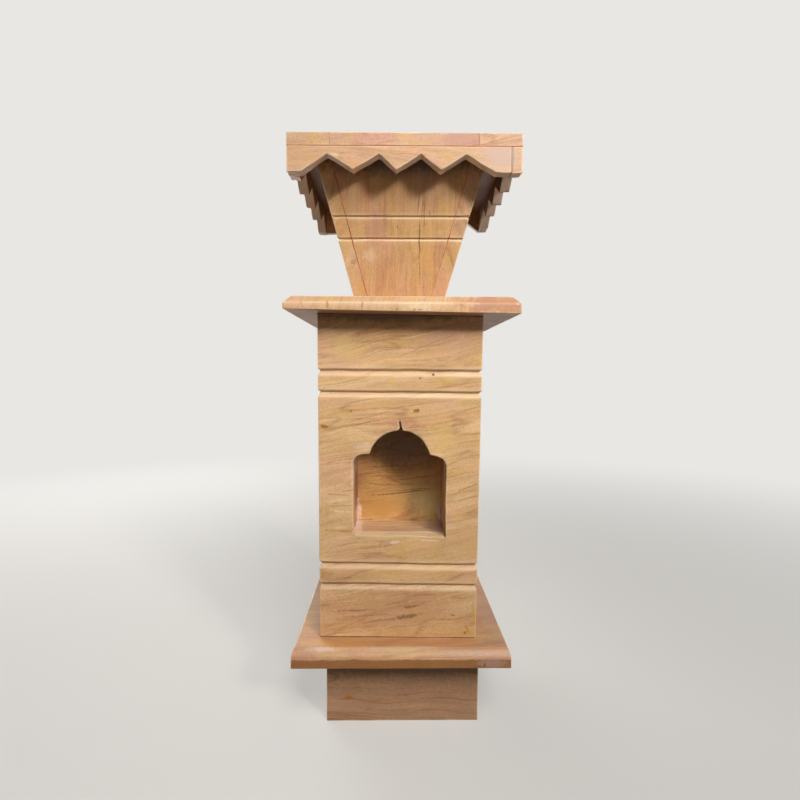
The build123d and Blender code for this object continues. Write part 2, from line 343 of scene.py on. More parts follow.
    def _marked(self, tree: Tree, colour: Socket) -> Socket:
        """Lays the marks over the colour."""
        if not self.marks:
            return colour
        place = add_node(tree, "ShaderNodeTexCoord", {}, OBJECT_COORDINATES)
        shake = add_node(
            tree, "ShaderNodeTexNoise", {"Vector": place, "Scale": per(22), "Detail": 2.0}, COLOUR_OUT
        )
        shaken = vector_calc(tree, "MULTIPLY_ADD", shake, (self.SHAKE * MM,) * 3, place)
        tear = add_node(tree, "ShaderNodeTexNoise", {"Vector": place, "Scale": per(5), "Detail": 2.0})
        for mark in self.marks:
            centre = [(v + self.SHAKE / 2) * MM for v in mark.at]  # the shake moves points by half of it
            near = add_node(
                tree,
                "ShaderNodeMapping",
                {
                    "Vector": shaken,
                    "Location": centre,
                    "Rotation": (0.0, -math.radians(mark.lean), 0.0),
                    "Scale": [v * MM for v in mark.half],
                },
                vector_type="TEXTURE",
            )
            far = vector_calc(tree, "LENGTH", near, out=LENGTH_OUT)
            torn = number_calc(tree, "MULTIPLY_ADD", tear, mark.ragged, far)
            middle = 0.5 * mark.ragged
            mask = smooth_range(tree, torn, middle + mark.core, middle + 1.0, mark.strength, 0.0)
            colour = blend(tree, mask, colour, linear(mark.colour))
        return colour

    def _tinted(self, tree: Tree, colour: Socket, where: str, tint: str, strength: float) -> Socket:
        """Tints the colour where the mesh's attribute says.

        Args:
            tree: The material's tree.
            colour: The colour so far.
            where: The attribute: arris, grime or sawn.
            tint: The colour that it takes there.
            strength: How far it goes to it.

        Returns:
            The tinted colour.
        """
        amount = add_node(tree, "ShaderNodeAttribute", {}, FACTOR_OUT, attribute_name=where)
        return blend(tree, number_calc(tree, "MULTIPLY", amount, strength), colour, linear(tint))


@dataclass(frozen=True)
class Resin:
    """Stone-dust resin, trowelled into a joint and rubbed flush.

    The eye gets a thin line or smear, duller than the stone and uneven in strength.
    """

    name: str
    colour: str
    other: str
    roughness: float = 0.55

    def material(self) -> bpy.types.Material:
        """Builds the resin's material, once."""
        if self.name in bpy.data.materials:
            return bpy.data.materials[self.name]
        material, tree = new_material(self.name)
        place = add_node(tree, "ShaderNodeTexCoord", {}, OBJECT_COORDINATES)
        patch = add_node(tree, "ShaderNodeTexNoise", {"Vector": place, "Scale": per(14), "Detail": 3.0})
        share = add_node(tree, "ShaderNodeMapRange", {"Value": patch, "From Min": 0.35, "From Max": 0.65})
        colour = blend(tree, share, linear(self.colour), linear(self.other))
        bump = add_node(tree, "ShaderNodeBump", {"Strength": 0.3, "Distance": 0.2 * MM, "Height": patch})
        close_material(tree, {"Base Color": colour, "Roughness": self.roughness, "Normal": bump})
        return material


@dataclass(frozen=True)
class DrawnSteel:
    """Mild steel bar, cold drawn.

    The eye gets a grey metal with fine lines along the bar.
    """

    name: str = "mild_steel_cold_drawn"
    colour: str = "#8f8c88"

    def material(self) -> bpy.types.Material:
        """Builds the steel's material, once."""
        if self.name in bpy.data.materials:
            return bpy.data.materials[self.name]
        material, tree = new_material(self.name)
        place = add_node(tree, "ShaderNodeTexCoord", {}, OBJECT_COORDINATES)
        drawn = vector_calc(tree, "MULTIPLY", place, (per(0.8), per(0.8), per(40)))
        scratch = add_node(tree, "ShaderNodeTexNoise", {"Vector": drawn, "Scale": 1.0, "Detail": 2.0})
        rough = add_node(tree, "ShaderNodeMapRange", {"Value": scratch, "To Min": 0.3, "To Max": 0.5})
        close_material(tree, {"Base Color": linear(self.colour), "Metallic": 1.0, "Roughness": rough})
        return material


# ---------------------------------------------------------------- meshes


class Side(Enum):
    """A side of a slab, as its axis and whether it is the high one."""

    LEFT = (0, False)
    RIGHT = (0, True)
    FRONT = (1, False)
    BACK = (1, True)
    BOTTOM = (2, False)
    TOP = (2, True)


def wander(points: np.ndarray, size: float, seed: float) -> np.ndarray:
    """Smooth noise at points.

    Args:
        points: Points in millimetres, one to a row.
        size: The size of its features in millimetres.
        seed: Picks the noise.

    Returns:
        A number from about -1 to 1 for each point.
    """
    shift = Vector((seed * 7.13 + 0.37, seed * 3.71 + 0.61, seed * 5.37 + 0.19))
    return np.array([noise.noise(Vector(p) / size + shift) for p in points])


def smooth_step(value: np.ndarray, start: float, end: float) -> np.ndarray:
    """Rises smoothly from 0 where value is at start to 1 where it is at end."""
    share = np.clip((value - start) / (end - start), 0, 1)
    return share * share * (3 - 2 * share)


def bake_modifiers(piece: bpy.types.Object) -> None:
    """Makes what a piece's modifiers give its own mesh, and removes them."""
    graph = bpy.context.evaluated_depsgraph_get()
    made = bpy.data.meshes.new_from_object(
        piece.evaluated_get(graph), preserve_all_data_layers=True, depsgraph=graph
    )
    made.name = piece.name
    piece.modifiers.clear()
    piece.data = made


def write_attribute(mesh: bpy.types.Mesh, name: str, value: np.ndarray) -> None:
    """Writes a number for each vertex to a named attribute."""
    attribute = mesh.attributes.get(name) or mesh.attributes.new(name, "FLOAT", "POINT")
    attribute.data.foreach_set("value", value.astype(np.float32))


def mark_wear(
    mesh: bpy.types.Mesh, soft_angle: float = 9.0, level: float = 0.4, root_angle: float = 30.0
) -> None:
    """Writes how far each vertex is on an arris, in the root of a groove or on a sawn underside.
    From these the material paints a highlight on arrises, shade in hollows, and light on some
    undersides and shade on others.

    Args:
        mesh: The mesh, which gets the attributes arris, grime and sawn.
        soft_angle: The fold, in degrees, at which an arris counts in full.
        level: How squarely a face must look down to count as an underside, 0 to 1.
        root_angle: The fold, in degrees, at which a hollow one counts in full.
    """
    count = len(mesh.vertices)
    normals = np.zeros(len(mesh.polygons) * 3)
    centres = np.zeros(len(mesh.polygons) * 3)
    mesh.polygons.foreach_get("normal", normals)
    mesh.polygons.foreach_get("center", centres)
    normals, centres = normals.reshape(-1, 3), centres.reshape(-1, 3)
    ends = np.zeros(len(mesh.edges) * 2, int)
    mesh.edges.foreach_get("vertices", ends)
    ends = ends.reshape(-1, 2)
    loop_edge = np.zeros(len(mesh.loops), int)
    mesh.loops.foreach_get("edge_index", loop_edge)
    sizes = np.zeros(len(mesh.polygons), int)
    mesh.polygons.foreach_get("loop_total", sizes)
    loop_face = np.repeat(np.arange(len(sizes)), sizes)
    order = np.argsort(loop_edge, kind="stable")
    edge, face = loop_edge[order], loop_face[order]
    paired = np.flatnonzero(edge[:-1] == edge[1:])
    one, two = face[paired], face[paired + 1]
    fold = np.degrees(np.arccos(np.clip((normals[one] * normals[two]).sum(1), -1, 1)))
    hollow = ((centres[two] - centres[one]) * normals[one]).sum(1) > 0
    found = ends[edge[paired]]
    for name, chosen, full in (("arris", ~hollow, soft_angle), ("grime_and_shade", hollow, root_angle)):
        value = np.zeros(count)
        amount = np.clip(fold[chosen] / full, 0, 1)
        for side in (0, 1):
            np.maximum.at(value, found[chosen][:, side], amount)
        write_attribute(mesh, name, value)
    facing = np.zeros(count * 3)
    mesh.vertices.foreach_get("normal", facing)
    write_attribute(mesh, "sawn", smooth_step(-facing[2::3], level, level + 0.2))


def make_piece(
    name: str, points: np.ndarray, faces: Sequence[Sequence[int]], material: bpy.types.Material
) -> bpy.types.Object:
    """Makes a mesh object at the origin.

    Args:
        name: The piece's name.
        points: Its vertices in millimetres.
        faces: Its faces, counter-clockwise from outside.
        material: What it is made of.

    Returns:
        The new object.
    """
    mesh = bpy.data.meshes.new(name)
    mesh.from_pydata((points * MM).tolist(), [], [list(map(int, f)) for f in faces])
    mesh.materials.append(material)
    mesh.shade_smooth()
    piece = bpy.data.objects.new(name, mesh)
    bpy.context.scene.collection.objects.link(piece)
    return piece


def even_shading(piece: bpy.types.Object) -> None:
    """Lets the big flat faces rule the normals, so that they shade flat up to the arrises."""
    rule = piece.modifiers.new("flat_faces", "WEIGHTED_NORMAL")
    rule.mode = "FACE_AREA"
    rule.weight = 60
    bake_modifiers(piece)


def finish_piece(piece: bpy.types.Object, nodes: Iterable[str] = ()) -> None:
    """Puts a finished piece on the CAD body and says what it stands for.

    Args:
        piece: The finished object.
        nodes: The CAD nodes that it replaces.
    """
    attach(piece, BODY)
    if nodes:
        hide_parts(*nodes)
    LOG.info("%s: %d vertices, stands for %s", piece.name, len(piece.data.vertices), ", ".join(nodes) or "-")


# ---------------------------------------------------------------- sections and slabs


@dataclass
class Groove:
    """A V groove ground round a section by hand, so its line wanders."""

    level: float
    rise: float
    fall: float
    depth: float
    drop: float = 0.0  # how much lower it is at the right side than in the middle
    wobble: float = 0.9
    seed: float = 1.0

    # How deep the groove is, as a share, at shares of the way from its root to a lip
    PROFILE = ((0.0, 1.0), (0.1, 0.95), (0.3, 0.74), (0.7, 0.30), (0.95, 0.09), (1.15, 0.02), (1.4, 0.0))
    REACH = 10.0  # how far above and below it the stone follows its wandering line
    FADE = 6.0

    def rows(self) -> list[float]:
        """The levels of the grid rows that draw it."""
        below = [self.level - share * self.fall for share, _ in self.PROFILE[:0:-1]]
        above = [self.level + share * self.rise for share, _ in self.PROFILE]
        return below + above

    def depth_at(self, z: np.ndarray) -> np.ndarray:
        """How far the groove goes in at levels z."""
        off = z - self.level
        share = np.where(off > 0, off / self.rise, -off / self.fall)
        stations, depths = zip(*self.PROFILE)
        return self.depth * np.interp(share, stations, depths)

    def stray(self, points: np.ndarray, half: float) -> np.ndarray:
        """How far up the groove's line carries each point.

        Args:
            points: Points in millimetres.
            half: Half the section's width.

        Returns:
            The shift of each point's level.
        """
        flat = points * np.array((1, 1, 0))
        line = self.wobble * wander(flat, 42.0, self.seed) - self.drop * points[:, 0] / half
        hold = np.clip((self.REACH + self.FADE - np.abs(points[:, 2] - self.level)) / self.FADE, 0, 1)
        return line * hold


class TopEdge(Enum):
    """How the top edge of a slab is worked."""

    PLAIN = "plain"
    WORN = "worn"
    BEVEL = "bevel"


@dataclass
class Section:
    """The outer form that the slabs of one section share.

    A slab is made as if the section were an upright square box. shape() then presses in the grooves
    and the worked top edge, and slopes the walls.
    """

    half: float
    low: float
    high: float
    grooves: tuple[Groove, ...] = ()
    edge: TopEdge = TopEdge.PLAIN
    edge_size: float = 0.0
    foot_half: float = 0.0  # half the width at the bottom, where the walls slope
    wall: float = 0.0  # the sloping walls' thickness, measured level
    swell: tuple[float, float] = (0.0, 0.0)  # how much fuller the faces are at the bottom and the top
    low_tip: float = 0.0  # how much lower the underside is at the right edge than in the middle
    high_tip: float = 0.0  # and the top
    turn: float = 0.0  # degrees by which it was set askew
    shift: float = 0.0  # and how far to the right
    foot_out: float = 0.0  # how much further to the right its foot stands than its top
    give: float = 16.0  # this far in from an edge, nothing moves in with the edge
    side_share: float = 1.0  # how much of the front's worked edge the other three sides have

    ARRIS_BAND = 2.6  # and this close to it, everything does
    # A worn edge, as shares of its size: how far under the top, and how far in
    WORN_PROFILE = (
        (0.0, 1.15),
        (0.03, 0.96),
        (0.1, 0.76),
        (0.2, 0.6),
        (0.36, 0.43),
        (0.68, 0.18),
        (0.94, 0.05),
    )

    def rows(self) -> list[float]:
        """The levels where the form needs a grid row."""
        rows = [z for groove in self.grooves for z in groove.rows()]
        return rows + [self.high - drop for drop, _ in self._edge_profile()]

    def joint_levels(self, count: int) -> np.ndarray:
        """Levels for a joint that runs up the section and through its grooves."""
        even = np.linspace(self.low, self.high, count)
        return np.unique(np.round(np.concatenate([even, self.rows()]), 3))

    def _edge_profile(self) -> list[tuple[float, float]]:
        """The worked top edge, as depths under the top and how far in each is."""
        if self.edge is TopEdge.WORN:
            size = self.edge_size
            profile = [(size * drop, size * back) for drop, back in self.WORN_PROFILE]
            return [*profile, (size, 0.2), (size + 0.8, 0.0)]
        if self.edge is TopEdge.BEVEL:
            size = self.edge_size
            return [
                (0.0, size + 0.7),
                (0.25, size + 0.1),
                (0.9, size - 0.75),
                (size - 0.8, 0.85),
                (size, 0.38),
                (size + 0.7, 0.1),
                (size + 1.6, 0.0),
            ]
        return []

    def inset(self, z: np.ndarray) -> np.ndarray:
        """How far the outer face lies inside the plain box at levels z."""
        total = np.zeros_like(z)
        for groove in self.grooves:
            total = total + groove.depth_at(z)
        profile = self._edge_profile()
        if profile:
            drops, ins = zip(*profile)
            total = total + np.interp(self.high - z, drops, ins)
        return total - np.interp(z, (self.low, self.high), self.swell)

    def half_at(self, z: np.ndarray) -> np.ndarray:
        """Half the section's width at levels z, grooves left out."""
        if not self.foot_half:
            return np.full_like(z, self.half)
        share = (z - self.low) / (self.high - self.low)
        return self.foot_half + share * (self.half - self.foot_half)

    def shape(self, points: np.ndarray) -> np.ndarray:
        """Moves points of the plain box to where the form has them.

        Args:
            points: Points in millimetres, one to a row.

        Returns:
            The moved points.
        """
        moved = points.copy()
        inset = self.inset(points[:, 2])
        for axis in (0, 1):
            along = points[:, axis]
            reach = np.clip((np.abs(along) - (self.half - self.give)) / (self.give - self.ARRIS_BAND), 0, 1)
            share = self.side_share if axis == 0 else np.where(along > 0, self.side_share, 1.0)
            moved[:, axis] -= np.sign(along) * inset * reach * share
        if self.foot_half:
            slope_in = self.half - self.half_at(points[:, 2])
            for axis in (0, 1):
                along = points[:, axis]
                share = np.clip(np.abs(along) / (self.half - self.wall), 0, 1)
                moved[:, axis] -= np.sign(along) * slope_in * share
        for groove in self.grooves:
            moved[:, 2] += groove.stray(points, self.half)
        up = np.clip((points[:, 2] - self.low) / (self.high - self.low), 0, 1)
        tip = self.low_tip * (1 - up) ** 4 + self.high_tip * up**4
        moved[:, 2] -= tip * points[:, 0] / self.half
        moved[:, 0] += self.foot_out * (1 - up)
        return moved

    def stand(self) -> Matrix:
        """Where the section stands on the one below, in metres."""
        return Matrix.Translation((self.shift * MM, 0, 0)) @ Matrix.Rotation(math.radians(self.turn), 4, "Z")

    def place(self, line: np.ndarray) -> np.ndarray:
        """A line in millimetres, moved to where the section stands."""
        return np.asarray(line) @ np.array(self.stand().to_3x3()).T + np.array((self.shift, 0, 0))


@dataclass
class Slab:
    """One sawn slab, as a closed grid of quads with rounded, unevenly worn arrises.

    Bonded sides keep crisp arrises, because the joint was filled and rubbed flush.
    """

    name: str
    nodes: tuple[str, ...]
    low: Sequence[float]
    high: Sequence[float]
    section: Section
    stone: Teakwood
    bonded: tuple[Side, ...] = ()
    arris: float = 1.3
    step: float = 5.0
    seed: float = 0.0
    chips: float = 0.8
    soft_angle: float = 9.0  # the fold at which an arris is rubbed pale and gets its painted highlight
    fine: dict[int, tuple[float, float, float]] = field(default_factory=dict)  # axis: low, high, step

    JOINT_ARRIS = 0.25
    SUPPORT = 1.1  # a grid line this far past the rounding keeps the face flat
    ARC = (45, 30, 15, 0)
    CALM = 7.0  # over this length an arris fades out towards a bonded side

    def grid_lines(self, axis: int) -> np.ndarray:
        """Uneven grid lines along an axis, crowded at the arrises and at the form's own rows."""
        low, high = self.low[axis], self.high[axis]
        rounds = {side.value: self.JOINT_ARRIS for side in self.bonded}
        near, far = (rounds.get((axis, up), self.arris) for up in (False, True))
        arc = [1 - math.tan(math.radians(a)) for a in self.ARC]
        start = [low + near * share for share in arc] + [low + near + self.SUPPORT]
        end = [high - far * share for share in arc] + [high - far - self.SUPPORT]
        count = max(1, round((end[-1] - start[-1]) / self.step))
        middle = list(np.linspace(start[-1], end[-1], count + 1)[1:-1])
        if axis in self.fine:
            fine_low, fine_high, fine_step = self.fine[axis]
            middle = [v for v in middle if not fine_low < v < fine_high]
            middle += list(np.arange(fine_low, fine_high, fine_step))
        rows = [z for z in self.section.rows() if low < z < high] if axis == 2 else []
        keep = [v for v in middle if all(abs(v - row) > 1.6 for row in rows)]
        ends = [v for v in start + end if all(abs(v - row) > 0.02 for row in rows)]
        return np.unique(np.round(ends + keep + rows, 4))

    def shell(self) -> tuple[np.ndarray, np.ndarray]:
        """The closed box of quads on the grid lines.

        Returns:
            Its points in millimetres and its faces, counter-clockwise from outside.
        """
        lines = [self.grid_lines(axis) for axis in range(3)]
        shape = tuple(len(line) for line in lines)
        skin = np.zeros(shape, bool)
        for axis in range(3):
            np.moveaxis(skin, axis, 0)[[0, -1]] = True
        ids = np.full(shape, -1)
        ids[skin] = np.arange(skin.sum())
        points = np.stack(np.meshgrid(*lines, indexing="ij"), -1)[skin]
        faces = []
        for axis in range(3):
            for high in (False, True):
                sheet = np.take(ids, -1 if high else 0, axis=axis)
                quads = np.stack(
                    [sheet[:-1, :-1], sheet[1:, :-1], sheet[1:, 1:], sheet[:-1, 1:]], -1
                ).reshape(-1, 4)
                outward = high != (axis == 1)
                faces.append(quads if outward else quads[:, ::-1])
        return points, np.concatenate(faces)

    def arris_at(self, points: np.ndarray) -> np.ndarray:
        """The arris radius at each point: uneven, chipped here and there, crisp at bonded sides."""
        rub = 0.75 + 0.45 * wander(points, 26.0, self.seed)
        chip = np.clip(wander(points, 7.0, self.seed + 5) - 0.42, 0, 1) * self.chips * 2.4
        radius = self.arris * np.clip(rub, 0.35, 1.4) + chip
        for side in self.bonded:
            axis, up = side.value
            away = self.high[axis] - points[:, axis] if up else points[:, axis] - self.low[axis]
            fade = np.clip(away / self.CALM, 0, 1)
            radius = self.JOINT_ARRIS + (radius - self.JOINT_ARRIS) * fade
        return radius

    def build(self) -> bpy.types.Object:
        """Makes the slab's mesh object.

        Returns:
            The object, not yet on a body.
        """
        points, faces = self.shell()
        radius = self.arris_at(points)[:, None]
        low, high = np.array(self.low), np.array(self.high)
        core = np.clip(points, low + radius, high - radius)
        out = points - core
        rounded = core + radius * out / np.linalg.norm(out, axis=1)[:, None]
        shaped = self.section.shape(rounded)
        return make_piece(self.name, shaped, faces, self.stone.material())

    def complete(self, piece: bpy.types.Object) -> None:
        """Shades, marks and places a built slab."""
        even_shading(piece)
        mark_wear(piece.data, self.soft_angle, 0.78 if self.section.grooves else 0.4)
        piece.data.transform(self.section.stand())
        finish_piece(piece, self.nodes)


def node_slab(node: str, section: Section, stone: Teakwood, bonded: Sequence[Side], **sizes: Any) -> Slab:
    """A slab with the same box as its CAD node.

    Args:
        node: The CAD node.
        section: The form that it belongs to.
        stone: What it is cut from.
        bonded: Its bonded sides.
        **sizes: Other sizes of the slab.

    Returns:
        The slab.
    """
    low, high = ([v / MM for v in corner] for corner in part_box(node))
    return Slab(f"{node}_stone", (node,), low, high, section, stone, tuple(bonded), **sizes)


# ---------------------------------------------------------------- geometry nodes


class GrowTree:
    """A Geometry Nodes tree with named inputs, kept under its name."""

    def __init__(self, name: str) -> None:
        """Starts the tree with a geometry input and output."""
        self.tree = bpy.data.node_groups.new(name, "GeometryNodeTree")
        self.sockets: dict[str, str] = {}
        self.tree.interface.new_socket("Geometry", in_out="INPUT", socket_type="NodeSocketGeometry")
        self.tree.interface.new_socket("Geometry", in_out="OUTPUT", socket_type="NodeSocketGeometry")
        self.entry = self.tree.nodes.new("NodeGroupInput")

    def size(self, name: str, kind: str = "NodeSocketFloat") -> Socket:
        """Adds a named input and gives its socket inside the tree."""
        socket = self.tree.interface.new_socket(name, in_out="INPUT", socket_type=kind)
        self.sockets[name] = socket.identifier
        return self.entry.outputs[name]

    def add(self, kind: str, inputs: dict[Any, Any], out: int = 0, **settings: Any) -> Socket:
        """Adds a node to the tree."""
        return add_node(self.tree, kind, inputs, out, **settings)

    def close(self, geometry: Socket, stone: Socket) -> None:
        """Ends the tree in Realize Instances and Set Material."""
        smooth = self.add("GeometryNodeSetShadeSmooth", {"Geometry": geometry})
        real = self.add("GeometryNodeRealizeInstances", {"Geometry": smooth})
        dressed = self.add("GeometryNodeSetMaterial", {"Geometry": real, "Material": stone})
        self.add("NodeGroupOutput", {0: dressed})

    def grow(self, name: str, sizes: dict[str, Any], start: bpy.types.Mesh | None = None) -> bpy.types.Object:
        """Runs the tree on a new object and bakes the result.

        Args:
            name: The object's name.
            sizes: A value for each named input.
            start: The mesh that the tree works on, if it needs one.

        Returns:
            The object with a plain mesh and no modifier.
        """
        piece = bpy.data.objects.new(name, start or bpy.data.meshes.new(name))
        bpy.context.scene.collection.objects.link(piece)
        modifier = piece.modifiers.new(name, "NODES")
        modifier.node_group = self.tree
        for key, value in sizes.items():
            modifier[self.sockets[key]] = value
        bake_modifiers(piece)
        return piece


def zigzag_board_tree() -> GrowTree:
    """The tree of a skirt board: a flat board with worn arrises and a sawn zigzag lower edge.

    The board stands on edge along X, with its middle at the origin. Its first notch starts a left
    margin in from its left end.
    """
    grow = GrowTree("zigzag_board")
    length, height, thickness = (grow.size(n) for n in ("Length", "Height", "Thickness"))
    margin, pitch, depth = (grow.size(n) for n in ("Left margin", "Notch pitch", "Notch depth"))
    arris, wobble = grow.size("Arris"), grow.size("Wobble")
    peak_place, peak_swing = grow.size("Peak place"), grow.size("Peak swing")
    middle_stray, side_stray = grow.size("Middle stray"), grow.size("Side stray")
    tip_lift, slant = grow.size("Tip lift"), grow.size("Slant")
    left_drop, right_drop = grow.size("Left drop"), grow.size("Right drop")
    count, seed = grow.size("Notches", "NodeSocketInt"), grow.size("Seed", "NodeSocketInt")
    stone = grow.size("Stone", "NodeSocketMaterial")

    left_rows, notch_rows, right_rows = 12, 24, 10  # grid cells in a margin or one notch
    calc, vector = partial(number_calc, grow.tree), partial(vector_calc, grow.tree)

    def fit(value: Any, low: Any, high: Any, to_low: Any = 0.0, to_high: Any = 1.0) -> Socket:
        """A value carried from one range to another and held inside it."""
        return grow.add(
            "ShaderNodeMapRange",
            {"Value": value, "From Min": low, "From Max": high, "To Min": to_low, "To Max": to_high},
        )

    notch_cells = calc("MULTIPLY", count, float(notch_rows))
    cells = calc("ADD", notch_cells, float(left_rows + right_rows))
    cube = grow.add(
        "GeometryNodeMeshCube",
        {"Size": (1.0, 1.0, 1.0), "Vertices X": calc("ADD", cells, 1.0), "Vertices Y": 13, "Vertices Z": 19},
    )
    place = grow.add("GeometryNodeInputPosition", {})
    split = grow.tree.nodes.new("ShaderNodeSeparateXYZ")
    grow.tree.links.new(place, split.inputs[0])

    # Along the board: crowded at both ends, even through the notches
    cell = calc("MULTIPLY", calc("ADD", split.outputs[0], 0.5), cells)
    in_left = fit(cell, 0.0, float(left_rows))
    notches_end = calc("ADD", notch_cells, float(left_rows))
    in_notches = fit(cell, float(left_rows), notches_end, 0.0, count)
    in_right = fit(cell, notches_end, cells)
    run = calc("MULTIPLY", pitch, count)
    right_margin = calc("SUBTRACT", calc("SUBTRACT", length, margin), run)
    quarter = math.pi / 2
    left_part = calc("MULTIPLY", margin, calc("COSINE", calc("MULTIPLY", in_left, quarter)))
    right_part = calc("MULTIPLY", right_margin, calc("SINE", calc("MULTIPLY", in_right, quarter)))
    from_start = calc("MULTIPLY_ADD", in_notches, pitch, calc("SUBTRACT", right_part, left_part))
    half_length = calc("MULTIPLY", length, 0.5)
    x = calc("SUBTRACT", calc("ADD", from_start, margin), half_length)

    # Across it: crowded at the arrises
    half_thickness, half_height = calc("MULTIPLY", thickness, 0.5), calc("MULTIPLY", height, 0.5)
    y = calc("MULTIPLY", half_thickness, calc("SINE", calc("MULTIPLY", split.outputs[1], math.pi)))
    z = calc("MULTIPLY", half_height, calc("SINE", calc("MULTIPLY", split.outputs[2], math.pi)))
    flat = grow.add("ShaderNodeCombineXYZ", {0: x, 1: y, 2: z})

    def ripple(size: float) -> Socket:
        """Noise on the board with features of size millimetres."""
        inputs = {"Vector": flat, "W": seed, "Scale": per(size)}
        return grow.add("ShaderNodeTexNoise", inputs, noise_dimensions="4D")

    # Worn arrises: the shell of a smaller box, pushed out by the uneven arris radius
    rub, nick = ripple(24), ripple(6)
    chip = calc("MULTIPLY", fit(nick, 0.66, 0.86), 1.6 * MM)
    radius = calc("MULTIPLY_ADD", arris, fit(rub, 0.25, 0.75, 0.45, 1.35), chip)
    spread = grow.add("ShaderNodeCombineXYZ", {0: radius, 1: radius, 2: radius})
    half = grow.add("ShaderNodeCombineXYZ", {0: half_length, 1: half_thickness, 2: half_height})
    inner = vector("SUBTRACT", half, spread)
    other = vector("MULTIPLY", inner, (-1.0, -1.0, -1.0))
    core = vector("MAXIMUM", vector("MINIMUM", flat, inner), other)
    outward = vector("NORMALIZE", vector("SUBTRACT", flat, core))
    rounded = vector("MULTIPLY_ADD", outward, spread, core)

    # Zigzag: the lower edge rises into each notch, and the face above it follows less and less
    level = grow.tree.nodes.new("ShaderNodeSeparateXYZ")
    grow.tree.links.new(rounded, level.inputs[0])
    along = calc("MULTIPLY", calc("DIVIDE", x, length), math.pi)
    twice = calc("MULTIPLY", along, 2.0)
    peak = calc("MULTIPLY_ADD", calc("COSINE", twice), peak_swing, peak_place)
    phase = calc("FRACT", in_notches)
    up_flank = calc("DIVIDE", phase, peak)
    down_flank = calc("DIVIDE", calc("SUBTRACT", 1.0, phase), calc("SUBTRACT", 1.0, peak))
    flank = calc("SMOOTH_MIN", up_flank, down_flank, 0.12)
    cut = calc("MULTIPLY", calc("MAXIMUM", flank, 0.0), depth)
    from_end = calc("MINIMUM", in_notches, calc("SUBTRACT", count, in_notches))
    tips = calc("MULTIPLY", calc("MINIMUM", calc("MULTIPLY", from_end, 2.0), 1.0), tip_lift)
    rise = calc("ADD", cut, tips)
    top = calc("SUBTRACT", half_height, 2.5 * MM)
    follow = fit(level.outputs[2], top, calc("MULTIPLY", top, -1.0))
    saw = calc("MULTIPLY", calc("SUBTRACT", ripple(15), 0.5), wobble)
    drop = fit(calc("DIVIDE", x, length), -0.5, 0.5, left_drop, right_drop)
    drop = calc("MULTIPLY_ADD", calc("ADD", split.outputs[1], 0.5), slant, drop)
    lift = calc("MULTIPLY", calc("SUBTRACT", calc("ADD", rise, saw), drop), follow)

    # By eye: the notches drift along the board, back to nothing at its ends
    aside = calc("MULTIPLY", calc("SINE", twice), side_stray)
    drift = calc("MULTIPLY", calc("MULTIPLY_ADD", calc("COSINE", along), middle_stray, aside), follow)
    shift = grow.add("ShaderNodeCombineXYZ", {0: drift, 2: lift})
    final = vector("ADD", rounded, shift)
    board = grow.add("GeometryNodeSetPosition", {"Geometry": cube, "Position": final})
    grow.close(board, stone)
    return grow


@lru_cache(maxsize=1)
def bead_tree() -> GrowTree:
    """The tree of a resin bead: an uneven round run of resin that follows each line of a path."""
    grow = GrowTree("resin_bead")
    path = grow.entry.outputs[0]
    radius, uneven = grow.size("Radius"), grow.size("Unevenness")
    patch, spacing = grow.size("Patch size"), grow.size("Spacing")
    sides, seed = grow.size("Sides", "NodeSocketInt"), grow.size("Seed", "NodeSocketInt")
    stone = grow.size("Resin", "NodeSocketMaterial")
    curve = grow.add("GeometryNodeMeshToCurve", {"Mesh": path})
    curve = grow.add("GeometryNodeResampleCurve", {"Curve": curve, "Length": spacing}, mode="LENGTH")
    calc = partial(number_calc, grow.tree)
    inverse = calc("DIVIDE", 1.0, patch)
    swell = grow.add(
        "ShaderNodeTexNoise", {"W": seed, "Scale": inverse, "Detail": 1.0}, noise_dimensions="4D"
    )
    share = calc("MULTIPLY_ADD", calc("SUBTRACT", swell, 0.5), uneven, 1.0)
    wide = calc("MULTIPLY", calc("MAXIMUM", share, 0.15), radius)
    ring = grow.add("GeometryNodeCurvePrimitiveCircle", {"Resolution": sides, "Radius": 1.0})
    tube = grow.add(
        "GeometryNodeCurveToMesh", {"Curve": curve, "Profile Curve": ring, "Scale": wide, "Fill Caps": True}
    )
    grow.close(tube, stone)
    return grow


def path_mesh(name: str, lines: Iterable[np.ndarray]) -> bpy.types.Mesh:
    """A mesh of loose polylines for a tree to follow.

    Args:
        name: The mesh's name.
        lines: Each line's points in millimetres.

    Returns:
        The mesh.
    """
    points: list[list[float]] = []
    edges: list[tuple[int, int]] = []
    for line in lines:
        first = len(points)
        points += (np.asarray(line, float) * MM).tolist()
        edges += [(i, i + 1) for i in range(first, len(points) - 1)]
    mesh = bpy.data.meshes.new(name)
    mesh.from_pydata(points, edges, [])
    return mesh


# ---------------------------------------------------------------- stones and resins

RED_RESIN = Resin("polyester_resin_oxide_tinted", "#b0603f", "#c98460")
BROWN_RESIN = Resin("polyester_resin_stone_dust", "#9a6b48", "#c39a72")
WHITE_FILLER = Resin("marble_dust_filler_trowelled", "#e2cabb", "#c9987f", 0.65)
RED_FILLER = Resin("marble_dust_filler_oxide_tinted", "#a4553a", "#cf9a80", 0.65)
BED_MORTAR = Resin("bed_mortar_struck", "#7a5836", "#b08a5e", 0.75)
# A near-black bead that paints the shade of the open bed joints.
OPEN_BED_SHADE = Resin("open_bed_painted_shade", "#2e2015", "#5c412a", 0.85)


def teakwood(name: str, turn: tuple[float, float, float], seed: float, **changes: Any) -> Teakwood:
    """A teakwood sandstone slab's finish, named for the slab."""
    return Teakwood(f"teakwood_sandstone_rubbed_{name}", turn, seed, **changes)


# ---------------------------------------------------------------- the planter's sections


